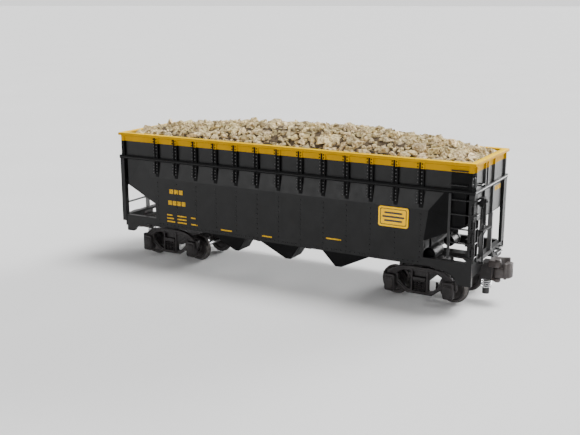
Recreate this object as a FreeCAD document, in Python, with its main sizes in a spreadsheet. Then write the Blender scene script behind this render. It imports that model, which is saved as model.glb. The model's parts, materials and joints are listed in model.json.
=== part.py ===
import FreeCAD, Part
import math
import os
import re
import Sketcher
from FreeCAD import Rotation, Vector

# A 1:64 model of a three-bay offset-side hopper car with raised sides and a lift-out stone load.
# Frame: +X along the car towards the hand-brake end, +Y across, +Z up.
# The origin is on the surface that the wheel flanges stand on, midway between the couplers.
# End "a" is the hand-brake end (+X); end "b" is the same shape turned half round about Z.

DIMENSIONS = {
    # top rim (coping) and the ledge that the load rests on
    "rim_long": 206.0, "rim_wide": 52.0, "rim_top": 71.5, "lip_deep": 1.2, "band_deep": 4.35,
    "rim_wall": 3.0, "coping_setback": 1.2, "ledge_wide": 1.4, "ledge_deep": 0.85,
    # side sheets: upper panel, slanted shoulder, lower panel
    "sheet_thick": 1.0, "upper_face": 24.1, "lower_face": 25.3, "sheet_half": 101.6,
    "belt_low": 57.2, "belt_high": 59.0, "belt_face": 25.7, "belt_end": 103.0,
    "bend_high": 48.0, "crease_top": 88.1, "crease_low": 81.0, "side_low": 21.0,
    "notch_x": 79.0, "notch_high": 33.3, "post_seam_x": 98.5, "post_seam_high": 42.2,
    # side ribs
    "rib_pitch": 12.857, "rib_wide": 2.0, "rib_low": 48.8, "corner_rib_x": 100.6,
    # end sheets, slope sheets and hopper bays
    "end_sheet_half": 23.05, "end_low": 43.6, "slope_end_x": 100.55, "slope_thick": 1.2,
    "bay_low": 11.0, "bay_wall": 1.0, "chute_inner": 5.5, "chute_outer": 17.0,
    "bay1_top_low": -52.9, "bay1_bottom_low": -32.1, "bay1_bottom_high": -30.0,
    "bay1_top_high": -23.75, "bay2_top_low": -21.5, "bay2_bottom_low": -0.5,
    "bay2_bottom_high": 2.5, "bay2_top_high": 9.3, "bay3_top_low": 18.7,
    "bay3_bottom_low": 28.7, "bay3_bottom_high": 32.1, "bay3_top_high": 52.9,
    "floor_thick": 1.0, "floor_half_wide": 24.25, "ridge1_high": 25.0, "ridge2_high": 27.5,
    "ridge_lap": 1.2,
    # end framing
    "end_face": 102.8, "end_rib_face": 102.6, "end_rib_wide": 1.1, "rib_pair_1": -9.2,
    "rib_pair_2": -5.6, "rib_mid": 4.6, "rib_corner": 22.4, "end_post_y": 3.9, "end_post_wide": 1.2,
    "end_post_back": 100.7, "crossbar_low": 30.7, "crossbar_thick": 0.8, "end_sill_top": 25.0,
    "end_sill_low": 18.0, "end_sill_back": 99.6, "end_sill_web": 101.4, "end_sill_face": 102.6,
    "end_sill_half": 22.9, "slot_half": 7.0, "slot_flare": 4.6, "slot_top": 22.9,
    "corner_in_x": 100.2, "corner_leg_y": 20.6, "corner_gap": 24.25, "corner_foot": 21.3,
    # side sills with their end plates, deeper at the two ladder corners
    "sill_top": 25.0, "sill_back": 23.0, "sill_drop": 13.8, "sill_end": 102.8,
    "sill_drop_plain": 15.8, "sill_end_plain": 99.6, "sill_bend": 84.5, "sill_step": 93.5,
    "arc_x": 87.5, "arc_z": 11.0, "arc_radius": 9.15,
    # centre sill, body bolsters and truck screws
    "sill_half": 3.2, "sill_mid_low": 16.0, "sill_flat": 20.95, "sill_raise_low": 20.6,
    "sill_raise_top": 23.0, "sill_knee_in": 56.0, "sill_knee_out": 61.0, "sill_long_half": 94.5,
    "bolster_half": 2.0, "bolster_top": 26.0, "bolster_web": 0.6, "web_high": 30.5,
    "plate_radius": 5.0, "plate_low": 19.55, "truck_centre": 75.0, "screw_radius": 1.5,
    "screw_head_radius": 2.9, "screw_head_low": 10.7, "screw_head_high": 12.3,
    "screw_slot_half": 0.3, "screw_slot_deep": 0.6,
    # ladders and wire parts
    "wire_radius": 0.35, "stile_wide": 1.2, "stile_thick": 0.6, "ladder_x": 91.3,
    "ladder_out_x": 101.6, "ladder_low": 26.5, "rung_pitch": 6.72, "rung_first": 27.5,
    "end_ladder_in": -20.8, "end_ladder_out": -24.9, "end_ladder_high": 45.0,
    "end_rung_first": 27.7, "end_rung_pitch": 6.7, "end_ladder_gap": 0.8, "end_stile_half": 0.35,
    # hand brake
    "housing_low": 50.9, "housing_high": 55.1, "housing_in": -18.5, "housing_out": -14.9,
    "housing_face": 105.0, "hub_y": -16.7, "hub_z": 53.2, "lever_long": 10.4, "lever_wide": 1.3,
    "lever_thick": 0.7, "lever_gap": 0.1, "pivot_radius": 0.6, "pivot_clear": 0.05,
    "platform_high": 39.6, "platform_thick": 0.8, "platform_in": -18.4, "platform_out": -6.8,
    "platform_face": 105.4, "knee_deep": 3.6, "rod_x": 104.0, "rod_y": -14.2, "rod_hole": 0.65,
    # air brake equipment
    "tank_x": 80.2, "tank_z": 25.4, "tank_radius": 3.1, "tank_in": -21.0, "tank_out": -7.5,
    "tank_edge": 1.2, "cylinder_radius": 2.7, "cylinder_in": 7.5, "cylinder_out": 16.0,
    "hanger_high": 32.7, "valve_x": 89.6, "valve_high": 37.2,
    # placards
    "placard_x": 63.5, "placard_long": 15.4, "placard_low": 37.8, "placard_high": 47.6,
    "placard_thick": 0.25, "placard_corner": 1.2,
    # load
    "load_half_long": 99.6, "load_half_wide": 22.6, "load_low": 68.05, "load_edge": 70.2,
    "crest_half": 9.0,
    # trucks, measured from the truck's own swivel axis
    "wheelbase": 30.0, "axle_high": 7.55, "tread_radius": 6.55, "flange_radius": 7.55,
    "flange_in": 10.3, "flange_out": 11.0, "wheel_out": 13.3, "web_thick": 0.9, "hub_radius": 2.2,
    "axle_radius": 1.2, "journal_radius": 0.8, "journal_hole": 0.86, "axle_shoulder": 15.2,
    "journal_end": 17.2, "frame_in": 16.0, "frame_out": 18.2, "frame_top": 18.0, "frame_low": 4.4,
    "box_out": 20.2, "box_half": 3.2, "box_low": 4.3, "box_high": 11.4, "spring_x": 2.1,
    "spring_half": 1.5, "spring_seat": 5.2, "spring_high": 12.2, "spring_proud": 0.9,
    "bolster_half_long": 4.0, "bolster_low": 10.5, "bolster_high": 17.4, "boss_radius": 5.0,
    "boss_high": 19.5, "screw_clear": 0.07, "recess_radius": 3.1, "recess_high": 12.6,
    # couplers, measured from the truck's own swivel axis; the knuckle is on the -Y side
    "arm_half": 3.0, "arm_low": 13.2, "arm_high": 17.2, "shank_back": 25.5, "shank_front": 31.5,
    "shank_half": 3.6, "shank_low": 12.0, "shank_high": 20.3, "guard_front": 37.4,
    "guard_thick": 1.6, "head_half": 5.0, "head_high": 22.0, "head_low": 12.0, "lug_radius": 1.7,
    "knuckle_x": 33.8, "knuckle_y": -3.4, "knuckle_low": 13.7, "knuckle_high": 18.4,
    "knuckle_tail": 1.7, "knuckle_room": 2.3, "knuckle_pin": 0.9, "knuckle_clear": 0.05,
    "knuckle_gap": 0.15, "knuckle_reach": 40.0, "nose_x": 36.6, "nose_high": 21.0,
    "plunger_x": 27.5, "plunger_radius": 1.1, "plunger_hole": 1.16, "plunger_top": 17.0,
    "hole_top": 19.4, "knob_low": 4.0, "knob_high": 6.6, "knob_radius": 1.7,
    "spring_radius": 2.6, "spring_wire": 0.28, "spring_turns": 5.0,
}
SCRATCH_CELL = "D1"
HALF_TURN = 180
RIBS_PER_SIDE = 13
SIDE_RUNGS = 7
END_RUNGS = 5
END_RUNGS_LOW = 3

doc = FreeCAD.newDocument("HopperCar")
sheet = doc.addObject("Spreadsheet::Sheet", "Dimensions")
for row, (alias, number) in enumerate(DIMENSIONS.items(), start=1):
    sheet.set(f"A{row}", alias)
    sheet.set(f"B{row}", str(number))
    sheet.setAlias(f"B{row}", alias)
doc.recompute()

nodes = []


def value(alias):
    """Reads one driving dimension from the sheet."""
    return float(sheet.get(alias))


def formula(text):
    """Turns the aliases in a formula into references to the sheet."""
    def refer(word):
        return "Dimensions." + word.group() if word.group() in DIMENSIONS else word.group()
    return re.sub(r"[A-Za-z_]\w*", refer, text)


def bind(item, field, text):
    """Binds one property to a formula of driving dimensions."""
    item.setExpression(field, formula(text))


def block(name, along, across, up):
    """A box between pairs of formulas: (low, high) along X, Y and Z."""
    box = doc.addObject("Part::Box", name)
    for field, place, (low, high) in zip(("Length", "Width", "Height"), "xyz", (along, across, up)):
        bind(box, field, f"({high}) - ({low})")
        bind(box, f"Placement.Base.{place}", low)
    return box


def rod(name, radius, axis, low, high, centre):
    """A cylinder along X, Y or Z from low to high; centre gives its other two coordinates in order."""
    turns = {"x": Rotation(Vector(0, 1, 0), 90), "y": Rotation(Vector(1, 0, 0), -90), "z": Rotation()}
    cylinder = doc.addObject("Part::Cylinder", name)
    cylinder.Placement.Rotation = turns[axis]
    bind(cylinder, "Radius", radius)
    bind(cylinder, "Height", f"({high}) - ({low})")
    others = [letter for letter in "xyz" if letter != axis]
    bind(cylinder, f"Placement.Base.{axis}", low)
    for letter, text in zip(others, centre):
        bind(cylinder, f"Placement.Base.{letter}", text)
    return cylinder


def origin_plane(body, role):
    """One of a body's own origin planes."""
    return next(item for item in body.Origin.OriginFeatures if item.Role == role)


def profile(body, role, corners, offset):
    """A closed straight-sided sketch on an origin plane, every corner bound to the sheet."""
    sketch = body.newObject("Sketcher::SketchObject", body.Name + "_profile")
    sketch.AttachmentSupport = [(origin_plane(body, role), "")]
    sketch.MapMode = "FlatFace"
    bind(sketch, "AttachmentOffset.Base.z", offset)
    body.recompute()
    points = [Vector(estimate(across), estimate(up), 0) for across, up in corners]
    for start, end in zip(points, points[1:] + points[:1]):
        sketch.addGeometry(Part.LineSegment(start, end), False)
    for edge in range(len(points)):
        sketch.addConstraint(Sketcher.Constraint("Coincident", (edge - 1) % len(points), 2, edge, 1))
    for edge, (across, up) in enumerate(corners):
        for kind, text, size in (("DistanceX", across, points[edge].x), ("DistanceY", up, points[edge].y)):
            index = sketch.addConstraint(Sketcher.Constraint(kind, -1, 1, edge, 1, size))
            sketch.setExpression(f"Constraints[{index}]", formula(text))
    return sketch


def estimate(text):
    """The present value of a formula, used as a sketch corner's starting place."""
    sheet.set(SCRATCH_CELL, "=" + formula(text).replace("Dimensions.", ""))
    sheet.recompute()
    return float(sheet.get(SCRATCH_CELL))


def prism(name, plane, corners, low, high):
    """A straight-sided outline in the XY, XZ or YZ plane, padded from low to high along the third axis."""
    body = doc.addObject("PartDesign::Body", name)
    start = {"XY": low, "YZ": low, "XZ": f"-({high})"}[plane]
    sketch = profile(body, plane + "_Plane", corners, start)
    pad = body.newObject("PartDesign::Pad", name + "_pad")
    pad.Profile = sketch
    bind(pad, "Length", f"({high}) - ({low})")
    sketch.Visibility = False
    return body


def revolved(name, corners):
    """An outline in the YZ plane (across, up from the axis) turned about the Y axis."""
    body = doc.addObject("PartDesign::Body", name)
    sketch = profile(body, "YZ_Plane", corners, "0")
    turn = body.newObject("PartDesign::Revolution", name + "_turn")
    turn.Profile = sketch
    turn.ReferenceAxis = (sketch, ["H_Axis"])
    turn.Angle = 360
    return body


def fuse(name, items):
    """One solid out of several that touch."""
    joined = doc.addObject("Part::MultiFuse", name)
    joined.Shapes = items
    joined.Refine = True
    return joined


def cut(name, base, tool):
    """Base with tool taken away."""
    result = doc.addObject("Part::Cut", name)
    result.Base = base
    result.Tool = tool
    return result


def group(name, items):
    """Several separate solids that share one node."""
    compound = doc.addObject("Part::Compound", name)
    compound.Links = items
    return compound


def shaped(name, shape):
    """A sub-part whose form none of the standard features makes."""
    feature = doc.addObject("Part::Feature", name)
    feature.Shape = shape
    return feature


def node(label, item, along="0", up="0", turn=0):
    """Names a finished sub-part, places it and puts it on the list of files to write."""
    item.Label = label
    if turn:
        item.Placement.Rotation = Rotation(Vector(0, 0, 1), turn)
    if along != "0":
        bind(item, "Placement.Base.x", along)
    if up != "0":
        bind(item, "Placement.Base.z", up)
    nodes.append(item)
    return item


def wire_tube(points, radius, bend):
    """A bent round wire: straight runs through the points, joined by tangent arcs."""
    edges = []
    here = points[0]
    for before, corner, after in zip(points, points[1:], points[2:]):
        into = (corner - before).normalize()
        out = (after - corner).normalize()
        half = into.getAngle(out) / 2
        reach = bend * math.tan(half)
        start = corner - into * reach
        end = corner + out * reach
        middle = corner + (out - into).normalize() * (bend / math.cos(half) - bend)
        edges.append(Part.LineSegment(here, start).toShape())
        edges.append(Part.Arc(start, middle, end).toShape())
        here = end
    edges.append(Part.LineSegment(here, points[-1]).toShape())
    path = Part.Wire(edges)
    circle = Part.makeCircle(radius, points[0], points[1] - points[0])
    tube = path.makePipeShell([Part.Wire(circle)], True, False)
    length = sum(edge.Length for edge in edges)
    expected = math.pi * radius ** 2 * length
    if abs(tube.Volume - expected) > 0.03 * expected:
        raise ValueError("a bent wire came out with the wrong volume")
    return tube


def rib_centres():
    """Formulas for the places of the side ribs along the car."""
    middle = (RIBS_PER_SIDE - 1) // 2
    return [f"({number - middle}) * rib_pitch" for number in range(RIBS_PER_SIDE)]


# ---------------------------------------------------------------- body shell

def side_sheet(label, turn):
    """A faceted side sheet: upper panel, shoulder, lower panel and sloped ends by the corner posts."""
    upper, lower = value("upper_face"), value("lower_face")
    half, belt = value("sheet_half"), value("belt_low")
    band = value("rim_top") - value("band_deep")
    crease = (value("crease_top"), belt, upper)
    bend = (value("crease_low"), value("bend_high"), lower)
    seam_top = (value("post_seam_x"), belt, upper)
    seam_low = (value("post_seam_x"), value("post_seam_high"), upper)
    notch = (value("notch_x"), value("notch_high"), lower)
    foot = (value("notch_x"), value("side_low"), lower)
    facets = [
        [(half, band, upper), (half, belt, upper), (-half, belt, upper), (-half, band, upper)],
        [crease, bend, (-bend[0], *bend[1:]), (-crease[0], *crease[1:])],
        [bend, notch, foot] + [(-x, z, y) for x, z, y in (foot, notch, bend)],
    ]
    for side in (1, -1):
        for corners in ([crease, seam_top, seam_low], [crease, seam_low, bend], [bend, seam_low, notch]):
            facets.append([(side * x, z, y) for x, z, y in corners])
    solids = []
    for corners in facets:
        outline = [Vector(x, -y, z) for x, z, y in corners]
        face = Part.Face(Part.makePolygon(outline + outline[:1]))
        solids.append(face.extrude(Vector(0, value("sheet_thick"), 0)))
    plate = solids[0].multiFuse(solids[1:]).removeSplitter()
    node(label, shaped(label, plate), turn=turn)


def end_rib_centres():
    """Formulas for the places of the upper end ribs across end a; end b has them turned half round."""
    return ["rib_pair_1", "rib_pair_2", "rib_mid", "rib_corner", "-rib_corner"]


def top_rim():
    """The yellow coping: lip, band with the tops of the ribs, and the ledge for the load."""
    half_long, half_wide = "rim_long / 2", "rim_wide / 2"
    low = "rim_top - band_deep"
    lip_low = "rim_top - lip_deep"
    lip = block("rim_lip", (f"-{half_long}", half_long), (f"-{half_wide}", half_wide),
                (lip_low, "rim_top"))
    setback = "coping_setback"
    band = block("rim_band", (f"-{half_long} + {setback}", f"{half_long} - {setback}"),
                 (f"-{half_wide} + {setback}", f"{half_wide} - {setback}"), (low, lip_low))
    parts = [lip, band]
    for number, centre in enumerate(rib_centres() + ["corner_rib_x", "-corner_rib_x"]):
        along = (f"{centre} - rib_wide / 2", f"{centre} + rib_wide / 2")
        parts.append(block(f"rim_rib_{number}", along, ("-lower_face", "lower_face"), (low, lip_low)))
    for end, along, side in (("a", ("0", "end_rib_face"), 1), ("b", ("-end_rib_face", "0"), -1)):
        for number, centre in enumerate(end_rib_centres()):
            across = (f"{side} * ({centre}) - end_rib_wide / 2", f"{side} * ({centre}) + end_rib_wide / 2")
            parts.append(block(f"rim_end_rib_{end}{number}", along, across, (low, lip_low)))
    inside = block("rim_inside", (f"-{half_long} + rim_wall", f"{half_long} - rim_wall"),
                   (f"-{half_wide} + rim_wall", f"{half_wide} - rim_wall"),
                   (f"{low} + ledge_deep", "rim_top + 1"))
    inset = "(rim_wall + ledge_wide)"
    mouth = block("rim_mouth", (f"-{half_long} + {inset}", f"{half_long} - {inset}"),
                  (f"-{half_wide} + {inset}", f"{half_wide} - {inset}"), (f"{low} - 1", "rim_top + 1"))
    node("top_rim", cut("rim", fuse("rim_stock", parts), fuse("rim_hollow", [inside, mouth])))


def belt_rail():
    """The rail that runs round the body under the upper panels."""
    outside = block("belt_outside", ("-belt_end", "belt_end"), ("-belt_face", "belt_face"),
                    ("belt_low", "belt_high"))
    inside = block("belt_inside", ("-sheet_half", "sheet_half"), ("-upper_face", "upper_face"),
                   ("belt_low - 1", "belt_high + 1"))
    return node("belt_rail", cut("belt", outside, inside))


def side_posts(belt):
    """Ribs down both sides, each tapering out on the shoulder, with the belt rail's room taken out."""
    bars = []
    for side, name in ((-1, "near"), (1, "far")):
        for number, centre in enumerate(rib_centres() + ["corner_rib_x", "-corner_rib_x"]):
            low = "belt_high" if number >= RIBS_PER_SIDE else "rib_low"
            shoulder = "belt_high" if number >= RIBS_PER_SIDE else "belt_low"
            corners = [("upper_face", "rim_top - band_deep"), ("lower_face", "rim_top - band_deep"),
                       ("lower_face", low)]
            if low != shoulder:
                corners.append(("lower_face - 0.1", "rib_low"))
            corners.append(("upper_face", shoulder))
            outline = [(f"{side} * ({across})", up) for across, up in corners]
            bars.append(prism(f"rib_{name}_{number}", "YZ", outline, f"{centre} - rib_wide / 2",
                              f"{centre} + rib_wide / 2"))
    node("side_posts", cut("ribs", group("rib_bars", bars), belt))


def end_sheet(label, turn):
    """The flat sheet that closes an end of the bin above the slope sheet."""
    plate = block(label + "_plate", ("sheet_half - sheet_thick", "sheet_half"),
                  ("-end_sheet_half", "end_sheet_half"), ("end_low", "rim_top - band_deep"))
    node(label, group(label + "_turned", [plate]), turn=turn)


def end_posts():
    """Ribs on the end sheets, posts below them on the end sills, and a crossbar at end b."""
    top = "rim_top - band_deep"
    spans = [(centre, "belt_high", top) for centre in end_rib_centres()]
    spans += [("rib_pair_1", "end_low", "belt_low"), ("end_post_y", "end_low", "belt_low")]
    bars = []
    for end, side in (("a", 1), ("b", -1)):
        near, far = ("sheet_half", "end_rib_face") if side > 0 else ("-end_rib_face", "-sheet_half")
        for number, (centre, low, high) in enumerate(spans):
            across = (f"{side} * ({centre}) - end_rib_wide / 2", f"{side} * ({centre}) + end_rib_wide / 2")
            bars.append(block(f"end_rib_{end}{number}", (near, far), across, (low, high)))
        near, far = ("end_post_back", "end_face") if side > 0 else ("-end_face", "-end_post_back")
        for number, centre in enumerate(("end_post_y", "rib_pair_1")):
            across = (f"{side} * ({centre}) - end_post_wide / 2", f"{side} * ({centre}) + end_post_wide / 2")
            bars.append(block(f"end_post_{end}{number}", (near, far), across, ("end_sill_top", "end_low")))
    bars.append(block("end_crossbar", ("-end_face", "-end_face + crossbar_thick"),
                      ("-corner_leg_y", "-end_post_y - end_post_wide / 2"),
                      ("crossbar_low", "crossbar_low + crossbar_thick")))
    node("end_posts", group("end_post_bars", bars))


def corner_posts():
    """Angle-section posts at the four corners, from the sills up to the belt rail."""
    posts = []
    for end, along in (("a", 1), ("b", -1)):
        for name, across in (("near", -1), ("far", 1)):
            corners = [("corner_in_x", "corner_gap"), ("corner_in_x", "lower_face"),
                       ("end_face", "lower_face"), ("end_face", "corner_leg_y"),
                       ("end_face - 1", "corner_leg_y"), ("end_face - 1", "corner_gap")]
            outline = [(f"{along} * ({x})", f"{across} * ({y})") for x, y in corners]
            post = prism(f"corner_{end}_{name}", "XY", outline, "end_sill_top", "belt_low")
            if along == across:
                span = ("corner_in_x", "end_face") if along > 0 else ("-end_face", "-corner_in_x")
                side = ("corner_gap", "lower_face") if across > 0 else ("-lower_face", "-corner_gap")
                foot = block(f"corner_foot_{end}", span, side, ("corner_foot", "end_sill_top"))
                post = fuse(f"corner_long_{end}", [post, foot])
            posts.append(post)
    node("corner_posts", group("corner_post_set", posts))


# ---------------------------------------------------------------- bin floor

def slope_sheet(label, turn):
    """The sloped end floor of the bin, from the end sheet down to the outer bay."""
    corners = [("bay3_top_high", "side_low + slope_thick"), ("bay3_top_high", "side_low"),
               ("slope_end_x", "end_low - slope_thick"), ("slope_end_x", "end_low")]
    node(label, prism(label, "XZ", corners, "-sill_back", "sill_back"), turn=turn)


def chute_sides():
    """The near and far chute of a bay: name, inner and outer limits across the car."""
    return (("near", "-chute_outer", "-chute_inner"), ("far", "chute_inner", "chute_outer"))


def hopper_bay(number):
    """One bay: a pair of hollow chutes, open at the top and closed by a door at the bottom."""
    low, high = f"bay{number}_top_low", f"bay{number}_top_high"
    bottom_low, bottom_high = f"bay{number}_bottom_low", f"bay{number}_bottom_high"
    outline = [(low, "side_low"), (bottom_low, "bay_low"), (bottom_high, "bay_low"), (high, "side_low")]
    inset = "bay_wall * 1.6"
    top, bottom = "side_low + 0.1", "bay_low + bay_wall"
    hollow = [(f"{low} + {inset} * 1.5", top), (f"{bottom_low} + {inset} * 0.3", bottom),
              (f"{bottom_high} - {inset} * 0.3", bottom), (f"{high} - {inset}", top)]
    chutes = []
    for side, near, far in chute_sides():
        outer = prism(f"bay_{number}_{side}", "XZ", outline, near, far)
        inner = prism(f"bay_{number}_{side}_hollow", "XZ", hollow, f"{near} + bay_wall", f"{far} - bay_wall")
        chutes.append(cut(f"chute_{number}_{side}", outer, inner))
    node(f"hopper_bay_{number}", group(f"bay_{number}", chutes))


def bin_floor():
    """The flat floor between the bays, with an opening over each chute."""
    plate = block("floor_plate", ("bay1_top_low", "bay3_top_high"), ("-floor_half_wide", "floor_half_wide"),
                  ("side_low", "side_low + floor_thick"))
    holes = []
    for number in (1, 2, 3):
        along = (f"bay{number}_top_low + bay_wall * 2.4", f"bay{number}_top_high - bay_wall * 1.6")
        for side, near, far in chute_sides():
            holes.append(block(f"floor_hole_{number}_{side}", along, (f"{near} + bay_wall", f"{far} - bay_wall"),
                               ("side_low - 1", "side_low + 3")))
    node("bin_floor", cut("floor", plate, group("floor_holes", holes)))


def cross_ridges():
    """Two roof-shaped ridges across the bin that part the load between the bays."""
    ridges = []
    base = "side_low + floor_thick"
    spans = (("bay1_top_high", "bay2_top_low", "ridge1_high"), ("bay2_top_high", "bay3_top_low", "ridge2_high"))
    for number, (low, high, top) in enumerate(spans, start=1):
        corners = [(f"{low} - ridge_lap", base), (f"{high} + ridge_lap", base), (f"({low} + {high}) / 2", top)]
        ridges.append(prism(f"ridge_{number}", "XZ", corners, "-sill_back", "sill_back"))
    node("cross_ridges", group("ridge_pair", ridges))


# ---------------------------------------------------------------- underframe

def centre_sill():
    """The spine of the car: deep between the bays, raised over the trucks, drilled for the truck screws."""
    half = [("sill_long_half", "sill_raise_top"), ("sill_knee_out", "sill_raise_top"),
            ("sill_knee_in", "sill_flat")]
    under = [("sill_knee_in - 2", "sill_mid_low"), ("sill_knee_out", "sill_raise_low"),
             ("sill_long_half", "sill_raise_low")]
    corners = half + [(f"-({x})", z) for x, z in reversed(half)]
    corners += [(f"-({x})", z) for x, z in reversed(under)] + under
    spine = prism("spine", "XZ", corners, "-sill_half", "sill_half")
    holes = [rod(f"spine_hole_{end}", "screw_radius", "z", "sill_mid_low", "sill_raise_top + 1",
                 (f"{side} * truck_centre", "0")) for end, side in (("a", 1), ("b", -1))]
    node("centre_sill", cut("spine_drilled", spine, group("spine_holes", holes)))


def body_bolsters():
    """Crosswise bearers and webs over the trucks, and the centre plates that the trucks turn under."""
    pieces = []
    for end, side in (("a", 1), ("b", -1)):
        centre = f"{side} * truck_centre"
        bearer = block(f"bearer_{end}", (f"{centre} - bolster_half", f"{centre} + bolster_half"),
                       ("-sill_back", "sill_back"), ("sill_raise_top", "bolster_top"))
        web = block(f"bearer_web_{end}", (f"{centre} - bolster_web", f"{centre} + bolster_web"),
                    ("-end_sill_half", "end_sill_half"), ("bolster_top - 1", "web_high"))
        pieces.append(fuse(f"bolster_{end}", [bearer, web]))
        plate = rod(f"centre_plate_{end}", "plate_radius", "z", "plate_low", "sill_raise_low", (centre, "0"))
        hole = rod(f"plate_hole_{end}", "screw_radius", "z", "plate_low - 1", "sill_raise_low + 1", (centre, "0"))
        pieces.append(cut(f"drilled_plate_{end}", plate, hole))
    node("body_bolsters", group("bolster_set", pieces))


def side_sills():
    """Side sills behind the lower panels, with end plates cut away in an arc over the outer wheels."""
    sills = []
    for name, side in (("near", -1), ("far", 1)):
        rows = ("-lower_face", "-sill_back") if side < 0 else ("sill_back", "lower_face")
        behind = ("-lower_face + sheet_thick", "-sill_back")
        if side > 0:
            behind = ("sill_back", "lower_face - sheet_thick")
        parts = [block(f"sill_bar_{name}", ("-notch_x", "notch_x"), behind,
                       ("side_low + floor_thick", "sill_top"))]
        sweep = ("-rim_wide", "0") if side < 0 else ("0", "rim_wide")
        for end, along in (("a", 1), ("b", -1)):
            kind = "_plain" if along == side else ""
            corners = [("notch_x", "side_low"), ("sill_bend", "side_low"), ("sill_step", f"sill_drop{kind}"),
                       (f"sill_end{kind}", f"sill_drop{kind}"), (f"sill_end{kind}", "sill_top"),
                       ("notch_x", "sill_top")]
            outline = [(f"{along} * ({x})", z) for x, z in corners]
            plate = prism(f"sill_plate_{name}_{end}", "XZ", outline, *rows)
            arch = rod(f"sill_arc_{name}_{end}", "arc_radius", "y", *sweep, (f"{along} * arc_x", "arc_z"))
            parts.append(cut(f"sill_end_{name}_{end}", plate, arch))
        sills.append(fuse(f"side_sill_{name}", parts))
    node("side_sills", group("side_sill_pair", sills))


def end_sill(label, turn):
    """The sill across an end, with a wide slot for the coupler to swing in."""
    flange = block(label + "_flange", ("end_sill_back", "end_sill_face"), ("-end_sill_half", "end_sill_half"),
                   ("end_sill_top - 1", "end_sill_top"))
    web = block(label + "_web", ("end_sill_web", "end_sill_face"), ("-end_sill_half", "end_sill_half"),
                ("end_sill_low", "end_sill_top"))
    foot = "end_sill_low - 1"
    slot_outline = [("-slot_half - slot_flare", foot), ("slot_half + slot_flare", foot),
                    ("slot_half", "slot_top"), ("-slot_half", "slot_top")]
    slot = prism(label + "_slot", "YZ", slot_outline, "end_sill_web - 1", "end_sill_face + 1")
    node(label, cut(label + "_cut", fuse(label + "_stock", [flange, web]), slot), turn=turn)


def truck_screw(label, turn):
    """The shouldered screw that a truck swivels on."""
    shank = rod(label + "_shank", "screw_radius", "z", "screw_head_high", "sill_raise_top", ("0", "0"))
    head = rod(label + "_head", "screw_head_radius", "z", "screw_head_low", "screw_head_high", ("0", "0"))
    slot = block(label + "_slot", ("-screw_head_radius", "screw_head_radius"),
                 ("-screw_slot_half", "screw_slot_half"),
                 ("screw_head_low - 1", "screw_head_low + screw_slot_deep"))
    screw = cut(label + "_slotted", fuse(label + "_stock", [shank, head]), slot)
    node(label, screw, along=f"{1 if turn == 0 else -1} * truck_centre", turn=turn)


# ---------------------------------------------------------------- ladders, wires and brake gear

def side_ladders():
    """A stile and round rungs on the side at two diagonal corners."""
    ladders = []
    for end, side in (("a", 1), ("b", -1)):
        across = ("-lower_face - 0.05 - stile_thick", "-lower_face - 0.05")
        rung_span = ("ladder_x", "ladder_out_x")
        if side < 0:
            across = ("lower_face + 0.05", "lower_face + 0.05 + stile_thick")
            rung_span = ("-ladder_out_x", "-ladder_x")
        along = (f"{side} * ladder_x - stile_wide / 2", f"{side} * ladder_x + stile_wide / 2")
        parts = [block(f"stile_{end}", along, across, ("ladder_low", "belt_low - 0.1"))]
        for number in range(SIDE_RUNGS - 2):
            centre = (f"{-side} * (lower_face + wire_radius)", f"rung_first + {number} * rung_pitch")
            parts.append(rod(f"rung_{end}_{number}", "wire_radius", "x", *rung_span, centre))
        ladders.append(fuse(f"ladder_{end}", parts))
        for number in range(SIDE_RUNGS - 2, SIDE_RUNGS):
            height = value("rung_first") + number * value("rung_pitch")
            outer, inner = value("belt_face") - value("wire_radius"), value("upper_face")
            if height > value("rim_top") - value("band_deep"):
                inner = value("rim_wide") / 2 - value("coping_setback")
            low = value("ladder_x")
            high = value("corner_rib_x") - value("rib_wide") / 2 - 0.6
            points = [(low, inner), (low, outer), (high, outer), (high, inner)]
            path = [Vector(side * x, -side * y, height) for x, y in points]
            ladders.append(shaped(f"grab_rung_{end}_{number}", wire_tube(path, value("wire_radius"), 0.45)))
    node("side_ladders", group("side_ladder_pair", ladders))


def end_ladders():
    """Stiles with rungs below, and bent wire rungs above, on the end at the same two corners."""
    ladders = []
    face = value("end_face")
    stand = face + value("end_ladder_gap") + value("wire_radius")
    inner, outer = value("end_ladder_in"), value("end_ladder_out")
    for end, side in (("a", 1), ("b", -1)):
        along = ("end_face + 0.05", "end_face + 0.05 + end_ladder_gap")
        rung_span = ("end_ladder_out", "end_ladder_in")
        if side < 0:
            along = tuple(f"-({text})" for text in reversed(along))
            rung_span = ("-end_ladder_in", "-end_ladder_out")
        parts = []
        for name, centre in (("in", "end_ladder_in"), ("out", "end_ladder_out")):
            across = (f"{side} * {centre} - end_stile_half", f"{side} * {centre} + end_stile_half")
            parts.append(block(f"end_stile_{end}_{name}", along, across, ("end_sill_top", "end_ladder_high")))
        for number in range(END_RUNGS_LOW):
            centre = (f"{side} * (end_face + end_ladder_gap - 0.3)",
                      f"end_rung_first + {number} * end_rung_pitch")
            parts.append(rod(f"end_rung_{end}_{number}", "wire_radius", "y", *rung_span, centre))
        ladders.append(fuse(f"end_ladder_{end}", parts))
        for number in range(END_RUNGS_LOW, END_RUNGS):
            height = value("end_rung_first") + number * value("end_rung_pitch")
            points = [(face, outer), (stand, outer), (stand, inner), (face, inner)]
            path = [Vector(side * x, side * y, height) for x, y in points]
            ladders.append(shaped(f"end_wire_rung_{end}_{number}", wire_tube(path, value("wire_radius"), 0.5)))
    node("end_ladders", group("end_ladder_pair", ladders))


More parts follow.
